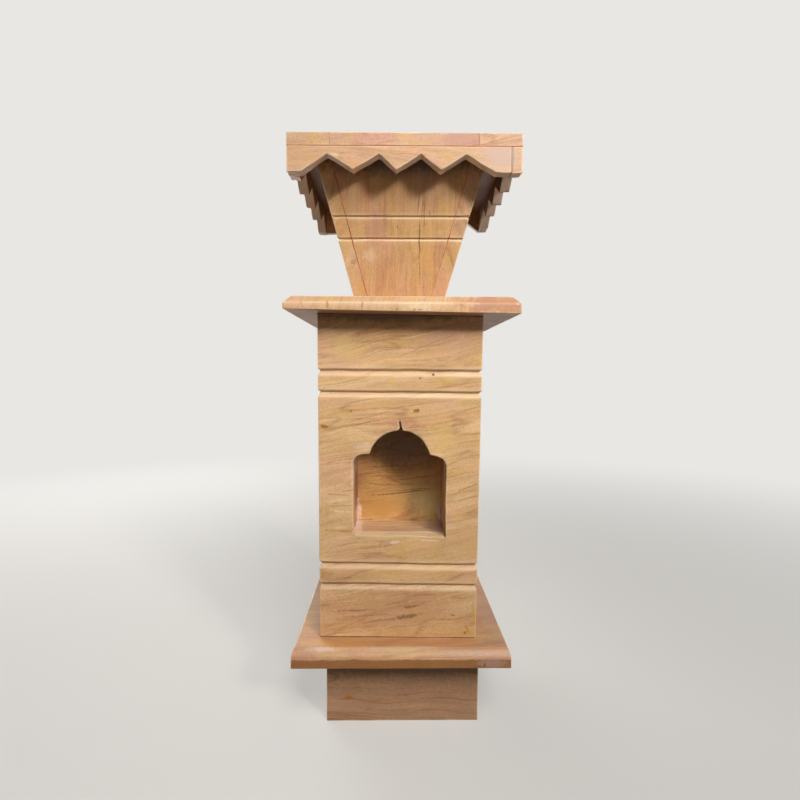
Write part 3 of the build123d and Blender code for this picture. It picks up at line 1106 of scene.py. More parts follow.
@dataclass
class Foot:
    """The plinth under the base slab: four slabs, front and back over the sides' ends."""

    half: float = 105.0
    height: float = 96.0
    wall: float = 19.0
    seam: float = 0.45
    shift: float = 2.5

    FINISH: ClassVar[dict[str, Any]] = {
        "ground": "#b88e6c",
        "pale": "#c29b79",
        "blush": "#be9077",
        "veining": 0.7,
        "yellowing": 0.1,
    }

    def build(self) -> None:
        """Builds the four slabs and their joints."""
        section = Section(self.half, 0.0, self.height, shift=self.shift)
        rust = Mark((-72, -105, 33), (8.0, 9, 3.6), "#ad661f", 0.9)
        rust_tail = Mark((-77, -105, 32), (8, 9, 1.2), "#96633f", 0.5)
        # Painted shade under the base slab's overhang, darkest at the top of the foot.
        painted_shade = Mark((0, 0, 100), (420, 420, 76), "#4a3010", 0.8, ragged=0.4, core=0.1)
        ends = {
            "foot_front": ((5, 2, 0), 1.0, (rust, rust_tail, painted_shade), Side.BACK),
            "foot_back": ((-4, 3, 0), 4.2, (painted_shade,), Side.FRONT),
        }
        for node, (turn, seed, marks, joined) in ends.items():
            stone = teakwood(node, turn, seed, marks=marks, **self.FINISH)
            slab = node_slab(node, section, stone, (joined, Side.TOP), seed=seed)
            slab.complete(slab.build())
        for node, seed in (("foot_left", 2.1), ("foot_right", 3.3)):
            stone = teakwood(node, (4, 4, 0), seed, marks=(painted_shade,), **self.FINISH)
            slab = node_slab(node, section, stone, (Side.FRONT, Side.BACK, Side.TOP), seed=seed)
            slab.complete(slab.build())
        levels = np.linspace(0.6, self.height, 30)
        joint = self.half - self.wall
        lines = [
            np.stack([np.full(30, sx * (self.half - 0.25)), np.full(30, sy * joint), levels], 1)
            for sx, sy in CORNERS
        ]
        run_resin("foot_joints", [section.place(line) for line in lines], BROWN_RESIN, self.seam, seed=3)


@dataclass
class BaseSlab:
    """The broad slab that the shaft stands on, with a soft worn shoulder round its top."""

    half: float = 145.0
    low: float = 96.0
    high: float = 120.0
    worn_edge: float = 10.7
    drain: float = 8.0

    # Painted shade on the upright edge, a patch and a fleck by the right corner, ochre and grey stone,
    # and painted highlights along the worn shoulder
    MARKS = (
        # Painted shade on the slab's upright edge.
        Mark((0, 0, 100), (400, 400, 9), "#8f5b26", 0.75, ragged=0.3, core=0.9),
        Mark((120, -145, 103), (26, 12, 8), "#b9998a", 0.6, ragged=1.3),
        Mark((109.5, -145, 101), (1.6, 3, 3.4), "#5a3a20", 0.8),
        Mark((-72, -128, 120), (44, 26, 8), "#d09a55", 0.5),
        Mark((-132, 10, 120), (26, 150, 9), "#c9a260", 0.42, ragged=1.2),
        Mark((134, -10, 120), (24, 140, 9), "#bf9a86", 0.5, ragged=1.2),
        # Painted highlights along the worn shoulder.
        Mark((-20, -136, 118.6), (130, 6.0, 3.6), "#e8ccb4", 0.4, ragged=0.6, core=0.0),
        Mark((-104, -137, 118.4), (34, 6.5, 4.2), "#f2dfcf", 0.6, ragged=0.8, core=0.0),
    )

    def build(self) -> None:
        """Builds the slab and its drain hole."""
        stone = teakwood(
            "base_slab",
            (52, 3, 0),
            7.7,
            ground="#bf895c",
            pale="#ca9a70",
            blush="#c98f74",
            blushing=0.6,
            veining=0.25,
            marks=self.MARKS,
        )
        section = Section(
            self.half,
            self.low,
            self.high,
            edge=TopEdge.WORN,
            edge_size=self.worn_edge,
            give=36.0,
            side_share=0.36,
        )
        slab = node_slab("base_slab", section, stone, (Side.TOP,), seed=7, arris=1.2, soft_angle=40.0)
        piece = slab.build()
        bore(piece, self.drain, self.low, self.high)
        slab.complete(piece)


@dataclass
class Arch:
    """The niche's outline: upright jambs, round shoulders, a wide lobe and a thin spire over it."""

    width: float = 126.0
    shoulder_height: float = 111.5
    shoulder_radius: float = 14.0
    chord: float = 82.0
    rise: float = 32.0
    tip_height: float = 159.5
    spire_width: float = 3.2
    flare: float = 4.5
    flare_radius: float = 5.4
    spacing: float = 3.0
    lip: float = 1.5
    spire_lip: float = 0.3
    droop: float = 3.4  # how much lower the right shoulder was cut

    def _arc(self, centre: tuple[float, float], start: Sequence[float], end: Sequence[float]) -> np.ndarray:
        """Points on the shorter arc round a centre, from start up to but not including end."""
        one, two = (math.atan2(p[1] - centre[1], p[0] - centre[0]) for p in (start, end))
        sweep = (two - one + math.pi) % (2 * math.pi) - math.pi
        radius = math.dist(centre, start)
        count = max(4, math.ceil(abs(sweep) * radius / self.spacing))
        angles = one + sweep * np.arange(count) / count
        return np.stack([centre[0] + radius * np.cos(angles), centre[1] + radius * np.sin(angles)], 1)

    def _line(self, start: Sequence[float], end: Sequence[float]) -> np.ndarray:
        """Points from start up to but not including end."""
        count = max(1, math.ceil(math.dist(start, end) / self.spacing))
        share = np.arange(count)[:, None] / count
        return np.array(start) + share * (np.array(end) - np.array(start))

    def outline(self) -> np.ndarray:
        """The outline above the sill, counter-clockwise in X and Z, from the right foot of the jamb."""
        half, chord, top = self.width / 2, self.chord / 2, self.shoulder_height
        spring, turn_in = top - self.shoulder_radius, half - self.shoulder_radius
        radius = (chord**2 + self.rise**2) / (2 * self.rise)
        lobe = (0.0, top + self.rise - radius)
        cusp = (self.flare, lobe[1] + math.sqrt(radius**2 - self.flare**2))
        root = (self.spire_width / 2, lobe[1] + radius + self.flare)
        middle = ((cusp[0] + root[0]) / 2, (cusp[1] + root[1]) / 2)
        apart = math.dist(cusp, root)
        aside = math.sqrt(self.flare_radius**2 - (apart / 2) ** 2)
        flare = (
            middle[0] + aside * (root[1] - cusp[1]) / apart,
            middle[1] + aside * (cusp[0] - root[0]) / apart,
        )
        waist = (0.36 * self.spire_width, root[1] + 0.6 * (self.tip_height - root[1]))
        right = np.concatenate(
            [
                self._line((half, 0), (half, spring)),
                self._arc((turn_in, spring), (half, spring), (turn_in, top)),
                self._line((turn_in, top), (chord, top)),
                self._arc(lobe, (chord, top), cusp),
                self._arc(flare, cusp, root),
                self._line(root, waist),
                self._line(waist, (0, self.tip_height)),
            ]
        )
        left = right[::-1] * (-1, 1)
        sill = self._line((-half, 0), (half, 0))[1:]
        return np.concatenate([right, [(0, self.tip_height)], left, sill])

    def hand_cut(self, flat: np.ndarray) -> np.ndarray:
        """The outline as the chisel left it: it wavers, the right shoulder droops and the spire leans.

        Args:
            flat: The true outline, in X and Z.

        Returns:
            The cut outline.
        """
        x, z = flat.T
        shoulder = smooth_step(x, 34, 56) * smooth_step(z, 84, 102)
        corner = smooth_step(x, 15, 58) * smooth_step(z, 8, 0)
        spire = np.exp(-(((z - self.shoulder_height - self.rise - 3) / 6) ** 2))
        waver = wander(np.insert(flat, 1, 0, axis=1), 24.0, 33.0) * smooth_step(z, 142, 132)
        return np.stack([x + 0.7 * waver + 1.4 * spire, z + waver - self.droop * shoulder - 2 * corner], 1)

    def cutter(self, sill: float, face: float, back: float) -> tuple[np.ndarray, list[list[int]]]:
        """The waste of the niche's opening, whose rim leaves a rounded lip on the stone.

        Args:
            sill: The level of the sill.
            face: Y of the stone's face.
            back: Y beyond the slab's back.

        Returns:
            The cutter's points in millimetres and its faces.
        """
        flat = self.hand_cut(self.outline())
        ahead, behind = np.roll(flat, -1, 0) - flat, flat - np.roll(flat, 1, 0)
        normals = []
        for edge in (ahead, behind):
            unit = edge / np.linalg.norm(edge, axis=1)[:, None]
            normals.append(np.stack([unit[:, 1], -unit[:, 0]], 1))
        bisector = normals[0] + normals[1]
        length = np.linalg.norm(bisector, axis=1)
        outward = bisector / length[:, None] * np.minimum(2 / length, 1.6)[:, None]
        spire_foot = self.shoulder_height + self.rise
        share = np.clip((flat[:, 1] - spire_foot + 2) / 5, 0, 1)
        lip = self.lip + (self.spire_lip - self.lip) * share
        lip = lip * (1 + 0.3 * wander(np.insert(flat, 1, 0, axis=1), 18.0, 31.0))
        rings = []
        for angle in (None, 6, 20, 36, 54, 72, 90):
            turn = math.radians(6 if angle is None else angle)
            grown = flat + outward * (lip * (1 - math.sin(turn)))[:, None]
            depth = face + lip * (1 - math.cos(turn)) if angle is not None else np.full(len(flat), face - 4)
            rings.append(np.stack([grown[:, 0], depth, grown[:, 1] + sill], 1))
        rings.append(np.stack([flat[:, 0], np.full(len(flat), back), flat[:, 1] + sill], 1))
        count = len(flat)
        faces = [list(range(count)), list(range(count * len(rings) - 1, count * (len(rings) - 1) - 1, -1))]
        for ring in range(len(rings) - 1):
            for i in range(count):
                j = (i + 1) % count
                here, there = ring * count, (ring + 1) * count
                faces.append([here + j, here + i, there + i, there + j])
        return np.concatenate(rings), faces


@dataclass
class Shaft:
    """The square shaft: four slabs with two pairs of grooves round them and the niche in the front."""

    half: float = 109.0
    low: float = 120.0
    high: float = 562.0
    wall: float = 19.0
    sill: float = 262.5
    groove_levels: tuple[float, ...] = (193.5, 222.0, 457.6, 486.6)
    groove_size: tuple[float, float, float] = (3.0, 6.2, 3.0)
    turn: float = -1.5
    foot_out: float = -1.6
    seam: float = 0.45
    arch: Arch = field(default_factory=Arch)

    FRONT_MARKS = (
        Mark((-105, -109, 411), (7.5, 9, 3.0), "#a8650e", 0.95, core=0.5),
        Mark((19, -109, 433), (6.4, 9, 3.0), "#98600f", 0.95, core=0.5),
        Mark((41.5, -109, 481.5), (2.2, 9, 2.0), "#402208", 0.9, core=0.6),
        Mark((-10, -109, 253.5), (14, 9, 3.0), "#ecd0be", 0.75, ragged=1.4),
        Mark((36, -109, 256.0), (20, 9, 1.8), "#ecd0be", 0.55, ragged=1.4),
        Mark((-20, -109, 158), (130, 9, 42), "#c08a66", 0.45, ragged=1.0),
        Mark((-70, -109, 300), (40, 9, 24), "#e4c795", 0.4, ragged=1.4),
        Mark((-60, -109, 326), (34, 9, 1.6), "#9a6f42", 0.5, lean=8, ragged=1.3),
        Mark((-84, -109, 296), (22, 9, 2.2), "#ecd3a8", 0.6, lean=-4, ragged=1.6),
        Mark((-88, -109, 310), (20, 9, 2.0), "#ecd3a8", 0.55, lean=5, ragged=1.6),
        Mark((-86, -109, 303), (22, 9, 1.2), "#a3744a", 0.5, lean=2, ragged=1.5),
        Mark((-86, -109, 318), (22, 9, 1.3), "#a3744a", 0.5, lean=-6, ragged=1.5),
        Mark((88, -109, 318), (24, 9, 2.2), "#e8cf9f", 0.5, lean=20, ragged=1.5),
        Mark((-52, -109, 383), (18, 9, 9), "#e8ccb6", 0.4, ragged=1.7, core=0.1),
        # Painted shadow of the cap slab along the top of the face.
        Mark((0, -109, 563), (220, 9, 16), "#42290a", 0.75, ragged=0.5, core=0.35),
        Mark((62, -109, 528), (58, 9, 26), "#cb9a84", 0.55, ragged=1.2),
        Mark((34, -109, 537), (50, 9, 1.3), "#ead2b0", 0.55, lean=13, ragged=1.2),
        Mark((24, -109, 477.5), (2.0, 9, 1.4), "#55340f", 0.85, core=0.5),
        Mark((-68.7, -109, 432.6), (1.8, 9, 1.8), "#5a3b12", 0.85, core=0.5),
        Mark((56.6, -109, 377), (2.2, 9, 2.0), "#c78a1e", 0.8),
        Mark((-76, -109, 518), (26, 9, 22), "#dcc07c", 0.4, ragged=1.4),
        Mark((-14, -109, 474), (9, 9, 8), "#d9b56b", 0.5, ragged=1.3),
        Mark((52, -109, 400), (24, 9, 30), "#dcb96e", 0.45, ragged=1.4),
        Mark((60, -109, 474), (26, 9, 9), "#dbb872", 0.4, ragged=1.4),
        Mark((14, -109, 164), (19, 9, 2.8), "#835a32", 0.7, lean=16, ragged=1.4),
        Mark((8, -109, 150), (21, 9, 4.6), "#785226", 0.72, lean=10, ragged=1.5),
        Mark((-8, -109, 168), (24, 9, 1.3), "#8a6238", 0.55, lean=12, ragged=1.4),
        Mark((-46, -109, 150), (46, 9, 1.4), "#8f6840", 0.5, lean=3, ragged=1.4),
        Mark((-30, -109, 143), (44, 9, 2.2), "#97714e", 0.45, lean=7, ragged=1.3),
        Mark((-66, -109, 157.5), (46, 9, 2.0), "#8a6240", 0.6, lean=3, ragged=1.4),
        Mark((70.6, -109, 152), (4.5, 9, 1.1), "#5f4a2e", 0.75, lean=-14),
        Mark((81, -109, 176), (20, 9, 1.8), "#94704d", 0.45, lean=8, ragged=1.3),
        Mark((-89, -109, 268), (22, 9, 1.6), "#8d6238", 0.6, lean=-3, ragged=1.3),
        Mark((-82, -109, 272), (20, 9, 3.0), "#e6c78f", 0.6, lean=2),
        Mark((-52, -109, 416), (44, 9, 1.1), "#8c6136", 0.6, lean=13, ragged=1.2),
        Mark((-48, -109, 424), (46, 9, 1.0), "#9a6f42", 0.5, lean=14, ragged=1.2),
        Mark((10, -109, 440), (44, 9, 1.0), "#9a6f42", 0.5, lean=10, ragged=1.2),
        Mark((30, -109, 520), (56, 9, 1.3), "#9d7148", 0.5, lean=22, ragged=1.2),
        Mark((54, -109, 524), (44, 9, 1.0), "#a1764c", 0.5, lean=18, ragged=1.2),
        Mark((92, -109, 330), (22, 9, 1.3), "#94683c", 0.6, lean=22, ragged=1.2),
        Mark((99, -109, 152), (2.8, 9, 26), "#cf9f3e", 0.65, ragged=1.2),
        Mark((91, -109, 133), (2.4, 9, 9), "#c98d1e", 0.9, lean=24, ragged=1.3),
        Mark((88, -109, 127), (3.0, 9, 3), "#b06a1c", 0.9),
        Mark((-106, -109, 140), (2.6, 9, 26), "#cfa95a", 0.55),
        # Painted shade inside the spire's slot.
        Mark((-1.6, -98, 414), (2.6, 9.8, 13), "#2f1c0d", 0.95, ragged=0.2, core=0.85),
    )

    def section(self) -> Section:
        """The shaft's outer form, with its hand-ground grooves."""
        rise, fall, depth = self.groove_size
        drops = (0.3, 0.8, 0.2, -0.2)
        grooves = tuple(
            Groove(level, rise, fall, depth, drop=drop, seed=2.0 + i)
            for i, (level, drop) in enumerate(zip(self.groove_levels, drops))
        )
        return Section(
            self.half,
            self.low,
            self.high,
            grooves,
            swell=(-1.7, 2.0),
            high_tip=1.9,
            turn=self.turn,
            foot_out=self.foot_out,
        )

    def build(self) -> None:
        """Builds the four slabs, cuts the niche's opening and runs the joints."""
        section = self.section()
        beds = (Side.BOTTOM, Side.TOP)
        front_stone = teakwood("shaft_front", (6, 9, 0), 12.4, marks=self.FRONT_MARKS)
        low, high = self.sill - 6, self.sill + self.arch.tip_height + 4
        fine = {0: (-self.arch.width / 2 - 6, self.arch.width / 2 + 6, 3.0), 2: (low, high, 3.0)}
        front = node_slab("shaft_front", section, front_stone, (Side.BACK, *beds), seed=12, fine=fine)
        piece = front.build()
        points, faces = self.arch.cutter(self.sill, -self.half, self.wall - self.half + 3)
        cut_away(piece, make_piece("niche_waste", points, faces, front_stone.material()))
        front.complete(piece)
        back_stone = teakwood("shaft_back", (8, -6, 0), 15.1)
        back = node_slab("shaft_back", section, back_stone, (Side.FRONT, *beds), seed=15)
        back.complete(back.build())
        for node, turn, seed in (("shaft_left", (5, 6, 12), 18.3), ("shaft_right", (-9, 4, 0), 21.6)):
            stone = teakwood(node, turn, seed)
            slab = node_slab(node, section, stone, (Side.FRONT, Side.BACK, *beds), seed=seed)
            slab.complete(slab.build())
        self._run_joints(section)

    def _run_joints(self, section: Section) -> None:
        """Runs resin down the four corner joints, through the grooves, and painted shade round both beds."""
        levels = section.joint_levels(90)
        joint, ones = self.half - self.wall, np.ones_like(levels)
        lines = [
            section.shape(np.stack([sx * self.half * ones, sy * joint * ones, levels], 1))
            - np.array((sx * 0.25, 0, 0))
            for sx, sy in CORNERS
        ]
        run_resin("shaft_joints", [section.place(line) for line in lines], BROWN_RESIN, self.seam, seed=8)
        beds = [section.shape(square_line(self.half - 0.4, z)) for z in (self.low, self.high)]
        run_resin("shaft_beds", [section.place(bed) for bed in beds], OPEN_BED_SHADE, 0.9, seed=9)


@dataclass
class Niche:
    """The slips of stone that line the lamp niche behind the front slab."""

    width: float = 126.0
    front: float = -90.0
    back: float = -30.0
    sill: float = 262.5
    turn: float = -1.5
    shift: float = -0.8

    # Stained stone, a pale patch that paints light into the jamb's shadow, painted shade over the
    # top, then veins, then smears of filler
    BACK_MARKS = (
        Mark((-24, -30, 284), (50, 12, 22), "#c4924a", 0.5, ragged=1.1),
        # A pale olive patch that paints light into the right jamb's shadow.
        Mark((46, -30, 300), (46, 12, 46), "#dccb90", 0.88, ragged=0.5, core=0.15),
        # Painted shade over the top of the back wall, under the arch.
        Mark((4, -30, 378), (80, 12, 54), "#4c2f0a", 0.78, ragged=0.5, core=0.2),
        Mark((0, -30, 304.5), (60, 9, 1.5), "#5f3f1c", 0.8, lean=6, ragged=1.2),
        Mark((14, -30, 309), (44, 9, 1.0), "#6b4520", 0.7, lean=4, ragged=1.2),
        Mark((-22, -30, 317), (48, 9, 1.1), "#7a5226", 0.6, lean=-2, ragged=1.5),
        Mark((20, -30, 327), (46, 9, 1.2), "#7a5229", 0.6, lean=7, ragged=1.4),
        Mark((-8, -30, 345), (50, 9, 1.3), "#6b4720", 0.65, lean=3, ragged=1.5),
        Mark((-61, -32, 277), (5.5, 14, 17), "#e6cbbb", 0.7, ragged=1.4),
        Mark((60, -32, 275), (6.0, 14, 22), "#dcd7d4", 0.85, ragged=1.4),
    )
    # A smear of filler, painted shadow at the right and a painted highlight along the front edge.
    SILL_MARKS = (
        Mark((-61, -70, 262), (8, 60, 10), "#e6cabb", 0.7, ragged=1.4),
        # Painted shadow on the sill's right part.
        Mark((52, -70, 262), (24, 46, 10), "#8d7b72", 0.65, ragged=0.9),
        # Painted highlight along the sill's front edge.
        Mark((28, -104, 262), (30, 12, 10), "#f0dccb", 0.6, ragged=1.5),
    )
    LEFT_MARKS = (
        Mark((-63, -45, 276), (9, 34, 20), "#e6c6b8", 0.7, ragged=1.4),
        Mark((-63, -60, 352), (9, 30, 16), "#d7bba9", 0.6, ragged=1.4),
    )
    RIGHT_MARKS = (Mark((61, -48, 274), (9, 30, 18), "#bcb3ad", 0.7, ragged=1.4),)

    def build(self) -> None:
        """Builds the five slips and trowels filler into their corners."""
        section = Section(1000.0, 0.0, 1000.0, turn=self.turn, shift=self.shift)
        back_stone = teakwood(
            "niche_back",
            (0, 6, 0),
            31.0,
            ground="#bd8d54",
            pale="#c79b60",
            veining=0.8,
            blushing=0.2,
            marks=self.BACK_MARKS,
        )
        stones = {
            "niche_back": back_stone,
            "niche_sill": teakwood(
                "niche_sill", (60, 4, 0), 33.0, ground="#c39875", blushing=0.4, marks=self.SILL_MARKS
            ),
            "niche_head": teakwood("niche_head", (60, 4, 0), 34.0, ground="#a87c50"),
            "niche_left_cheek": teakwood(
                "niche_left_cheek",
                (85, 10, 0),
                35.0,
                ground="#93604a",
                pale="#a06d55",
                blushing=0.3,
                yellowing=0.1,
                marks=self.LEFT_MARKS,
            ),
            "niche_right_cheek": teakwood(
                "niche_right_cheek", (85, 5, 0), 36.0, ground="#94694f", yellowing=0.2, marks=self.RIGHT_MARKS
            ),
        }
        every_side = tuple(Side)
        for node, stone in stones.items():
            slab = node_slab(node, section, stone, every_side, arris=0.5, step=8.0)
            slab.complete(slab.build())
        self._fill_corners(section)

    def _fill_corners(self, section: Section) -> None:
        """Trowels filler into the inner corners, thick at the bottom of each."""
        half, back, sill = self.width / 2, self.back, self.sill
        thick = [
            np.array([(-half, back, sill), (-half, back, sill + 34)]),
            np.array([(half, back, sill), (half, back, sill + 38)]),
            np.array([(-half, self.front - 12, sill), (-half, back, sill)]),
        ]
        thin = [
            np.array([(-half, back, sill + 34), (-half, back, sill + 118)]),
            np.array([(half, back, sill + 38), (half, back, sill + 118)]),
            np.array([(half, self.front - 12, sill), (half, back, sill)]),
            np.array([(-half, back, sill), (half, back, sill)]),
        ]
        thick, thin = ([section.place(line) for line in lines] for lines in (thick, thin))
        run_resin("niche_filler_thick", thick, WHITE_FILLER, 1.7, uneven=2.4, patch=16.0, sides=10, seed=21)
        run_resin("niche_filler_thin", thin, RED_FILLER, 0.7, uneven=2.2, patch=20.0, sides=8, seed=22)


@dataclass
class CapSlab:
    """The slab over the shaft, with a bevel ground round its top edge."""

    half: float = 150.0
    low: float = 562.0
    high: float = 582.0
    bevel: float = 9.6
    turn: float = -0.4
    swell: float = 1.2
    drain: float = 8.0

    MARKS = (
        Mark((118, -150, 572), (64, 36, 20), "#b67a60", 0.72, ragged=1.3, core=0.3),
        Mark((-136, -150, 572), (12, 24, 14), "#dba98c", 0.5),
        Mark((-52, -150, 569), (1.0, 9, 7), "#6d4a2c", 0.8),
        Mark((-96, -150, 570), (2.4, 9, 8), "#a5713f", 0.6),
        Mark((-128, -150, 572), (1.6, 9, 8), "#a5713f", 0.45),
        Mark((-20, -150, 578), (14, 9, 2.6), "#cf9a4e", 0.7),
        Mark((20, -150, 567), (26, 9, 6), "#ecd2aa", 0.6, ragged=1.5),
        Mark((-8, -150, 564), (2.2, 9, 2), "#8a5f3c", 0.7),
        Mark((14, -150, 564), (2.6, 9, 2), "#8a5f3c", 0.7),
        Mark((22, -150, 564), (5, 9, 1.6), "#9c8678", 0.7),
    )

    def build(self) -> None:
        """Builds the slab and its drain hole."""
        stone = teakwood(
            "cap_slab",
            (20, 80, 0),
            41.5,
            ground="#d0a57c",
            pale="#dbb68c",
            # Its underside's sawn colour is darker and greyer: the sawn finish, with painted shade.
            sawn="#ae8467",
            veining=0.32,
            sway=30.0,
            marks=self.MARKS,
        )
        section = Section(
            self.half,
            self.low,
            self.high,
            edge=TopEdge.BEVEL,
            edge_size=self.bevel,
            swell=(self.swell, self.swell),
            low_tip=2.5,
            turn=self.turn,
        )
        slab = node_slab("cap_slab", section, stone, (Side.TOP,), seed=41, arris=1.2)
        piece = slab.build()
        bore(piece, self.drain, self.low, self.high)
        slab.complete(piece)


@dataclass
class Planter:
    """The square funnel that holds the tulsi: four sloping slabs round a floor with a drain hole."""

    foot_half: float = 62.0
    half: float = 113.5
    low: float = 582.0
    high: float = 768.0
    stock: float = 19.0
    groove_levels: tuple[float, ...] = (668.0, 696.0)
    groove_size: tuple[float, float, float] = (1.5, 3.0, 2.0)
    floor_gap: float = 0.3
    drain: float = 8.0
    seam: float = 0.95
    turn: float = -1.1
    foot_out: float = -2.4

    FRONT_MARKS = (
        Mark((21.5, -85, 716), (1.0, 30, 26), "#4f2f18", 0.9, lean=-3, ragged=0.5),
        Mark((27.0, -85, 712), (0.8, 30, 30), "#55341c", 0.85, lean=-2, ragged=0.6),
        Mark((23.5, -85, 668), (1.2, 30, 34), "#52311a", 0.85, ragged=0.8),
        Mark((24.5, -85, 628), (0.9, 30, 36), "#6f4826", 0.75, ragged=1.0),
        Mark((29.5, -85, 706), (0.8, 30, 30), "#5e3a1e", 0.75, ragged=0.9),
        Mark((37.0, -85, 700), (0.9, 30, 4.5), "#6d4a1e", 0.75),
        Mark((-7, -85, 682), (0.9, 30, 4.5), "#6a4a20", 0.85),
        Mark((32.5, -85, 621), (1.0, 30, 4), "#7a5330", 0.7),
        Mark((30.5, -85, 605), (0.9, 30, 4), "#7a5330", 0.7),
        Mark((-46, -85, 716), (7, 30, 34), "#cf9070", 0.45, ragged=1.2),
        Mark((-24, -85, 700), (3, 30, 44), "#a9713f", 0.4, ragged=1.2),
        Mark((-28, -85, 628), (4, 30, 40), "#bd7d50", 0.4, ragged=1.2),
        Mark((34, -85, 644), (14, 30, 30), "#d9a354", 0.4, ragged=1.4),
        Mark((34, -95, 740), (26, 30, 24), "#c3a08a", 0.4, ragged=1.3),
        Mark((-34, -85, 680), (20, 30, 46), "#bb8870", 0.4, ragged=1.3),
        Mark((-45, -76, 647), (11, 30, 12), "#e5cdb8", 0.38, ragged=1.6),
        Mark((52, -95, 676), (14, 30, 5), "#e2bf92", 0.4, ragged=1.4),
    )
    LEFT_MARKS = (
        Mark((-68, -80, 638), (6, 30, 5), "#96785c", 0.5, ragged=1.5),
        Mark((-70, -80, 646), (7, 30, 9), "#c7aa86", 0.6, ragged=1.4),
        Mark((-58, -80, 604), (10, 30, 12), "#d6a654", 0.5, ragged=1.3),
        Mark((-80, -90, 700), (12, 30, 26), "#c9a262", 0.45, ragged=1.3),
    )
    # Painted shadow of the skirt on the front's top, and painted shade on the other three sides.
    PAINTED_SKIRT_SHADE = (
        Mark((0, -112, 778), (190, 30, 46), "#341d0a", 0.92, ragged=0.25, core=0.42),
        Mark((0, 112, 778), (190, 30, 54), "#4a2f18", 0.6, ragged=0.25),
        Mark((-112, 0, 778), (30, 190, 54), "#4a2f18", 0.6, ragged=0.25),
        Mark((112, 0, 778), (30, 190, 54), "#4a2f18", 0.6, ragged=0.25),
    )

    def section(self) -> Section:
        """The funnel's outer form."""
        rise, fall, depth = self.groove_size
        grooves = tuple(
            Groove(level, rise, fall, depth, wobble=0.35, seed=6.0 + i)
            for i, level in enumerate(self.groove_levels)
        )
        return Section(
            self.half,
            self.low,
            self.high,
            grooves,
            foot_half=self.foot_half,
            wall=self.wall,
            turn=self.turn,
            foot_out=self.foot_out,
        )

    @property
    def slope(self) -> float:
        """How far a wall leans out for each unit of height."""
        return (self.half - self.foot_half) / (self.high - self.low)

    @property
    def wall(self) -> float:
        """A wall's thickness, measured level."""
        return self.stock * math.hypot(1, self.slope)

    def build(self) -> None:
        """Builds the four walls, the floor and the joints."""
        section = self.section()
        inner = self.half - self.wall
        beds = (Side.BOTTOM, Side.TOP)
        for node, sign, joined in (("planter_left", -1, Side.RIGHT), ("planter_right", 1, Side.LEFT)):
            marks = (*self.LEFT_MARKS, *self.PAINTED_SKIRT_SHADE) if sign < 0 else self.PAINTED_SKIRT_SHADE
            ground = "#d8ac70" if sign < 0 else "#cf9b70"
            stone = teakwood(node, (80, 12 * sign, 0), 50.0 + 3 * sign, ground=ground, marks=marks)
            low = (min(sign * inner, sign * self.half), -self.half, self.low)
            high = (max(sign * inner, sign * self.half), self.half, self.high)
            slab = Slab(f"{node}_stone", (node,), low, high, section, stone, (joined, *beds), seed=50 + sign)
            slab.complete(slab.build())
        for node, sign, joined in (("planter_front", -1, Side.BACK), ("planter_back", 1, Side.FRONT)):
            marks = (*self.FRONT_MARKS, *self.PAINTED_SKIRT_SHADE) if sign < 0 else self.PAINTED_SKIRT_SHADE
            stone = teakwood(
                node,
                (8, 91, 0),
                60.0 + 4 * sign,
                ground="#cc9b6d",
                pale="#d6ae82",
                sway=24.0,
                veining=0.3,
                marks=marks,
            )
            low = (-inner, min(sign * inner, sign * self.half), self.low)
            high = (inner, max(sign * inner, sign * self.half), self.high)
            bonded = (Side.LEFT, Side.RIGHT, joined, *beds)
            slab = Slab(f"{node}_stone", (node,), low, high, section, stone, bonded, seed=60 + sign)
            slab.complete(slab.build())
        self._floor()
        self._run_joints(section)

    def _floor(self) -> None:
        """Builds the floor between the sloping walls, with its drain hole."""
        top = self.low + self.stock
        foot = self.foot_half - self.wall - self.floor_gap
        head = foot + self.stock * self.slope
        section = Section(head, self.low, top, foot_half=foot, wall=head / 2, shift=self.foot_out)
        stone = teakwood("planter_floor", (30, 10, 0), 71.0)
        low, high = (-head, -head, self.low), (head, head, top)
        slab = Slab("planter_floor_stone", ("planter_floor",), low, high, section, stone, (), arris=0.8)
        piece = slab.build()
        bore(piece, self.drain, self.low, top)
        slab.complete(piece)

    def _run_joints(self, section: Section) -> None:
        """Runs resin up the joints, red at the left and faint at the right, and mortar round the bed."""
        levels = section.joint_levels(60)
        ones = np.ones_like(levels)
        joint = self.half - self.wall
        for name, sx, resin, radius in (
            ("planter_joints_left", -1, RED_RESIN, self.seam),
            ("planter_joints_right", 1, RED_RESIN, 0.75 * self.seam),
        ):
            lines = [
                section.shape(np.stack([sx * joint * ones, sy * self.half * ones, levels], 1))
                - np.array((0, sy * 0.25, 0))
                for sy in (-1, 1)
            ]
            run_resin(name, [section.place(line) for line in lines], resin, radius, seed=11 + sx)
        bed = section.place(square_line(self.foot_half - 0.2, self.low) + (self.foot_out, 0, 0))
        run_resin("planter_bed", [bed], BED_MORTAR, 0.6, seed=14)


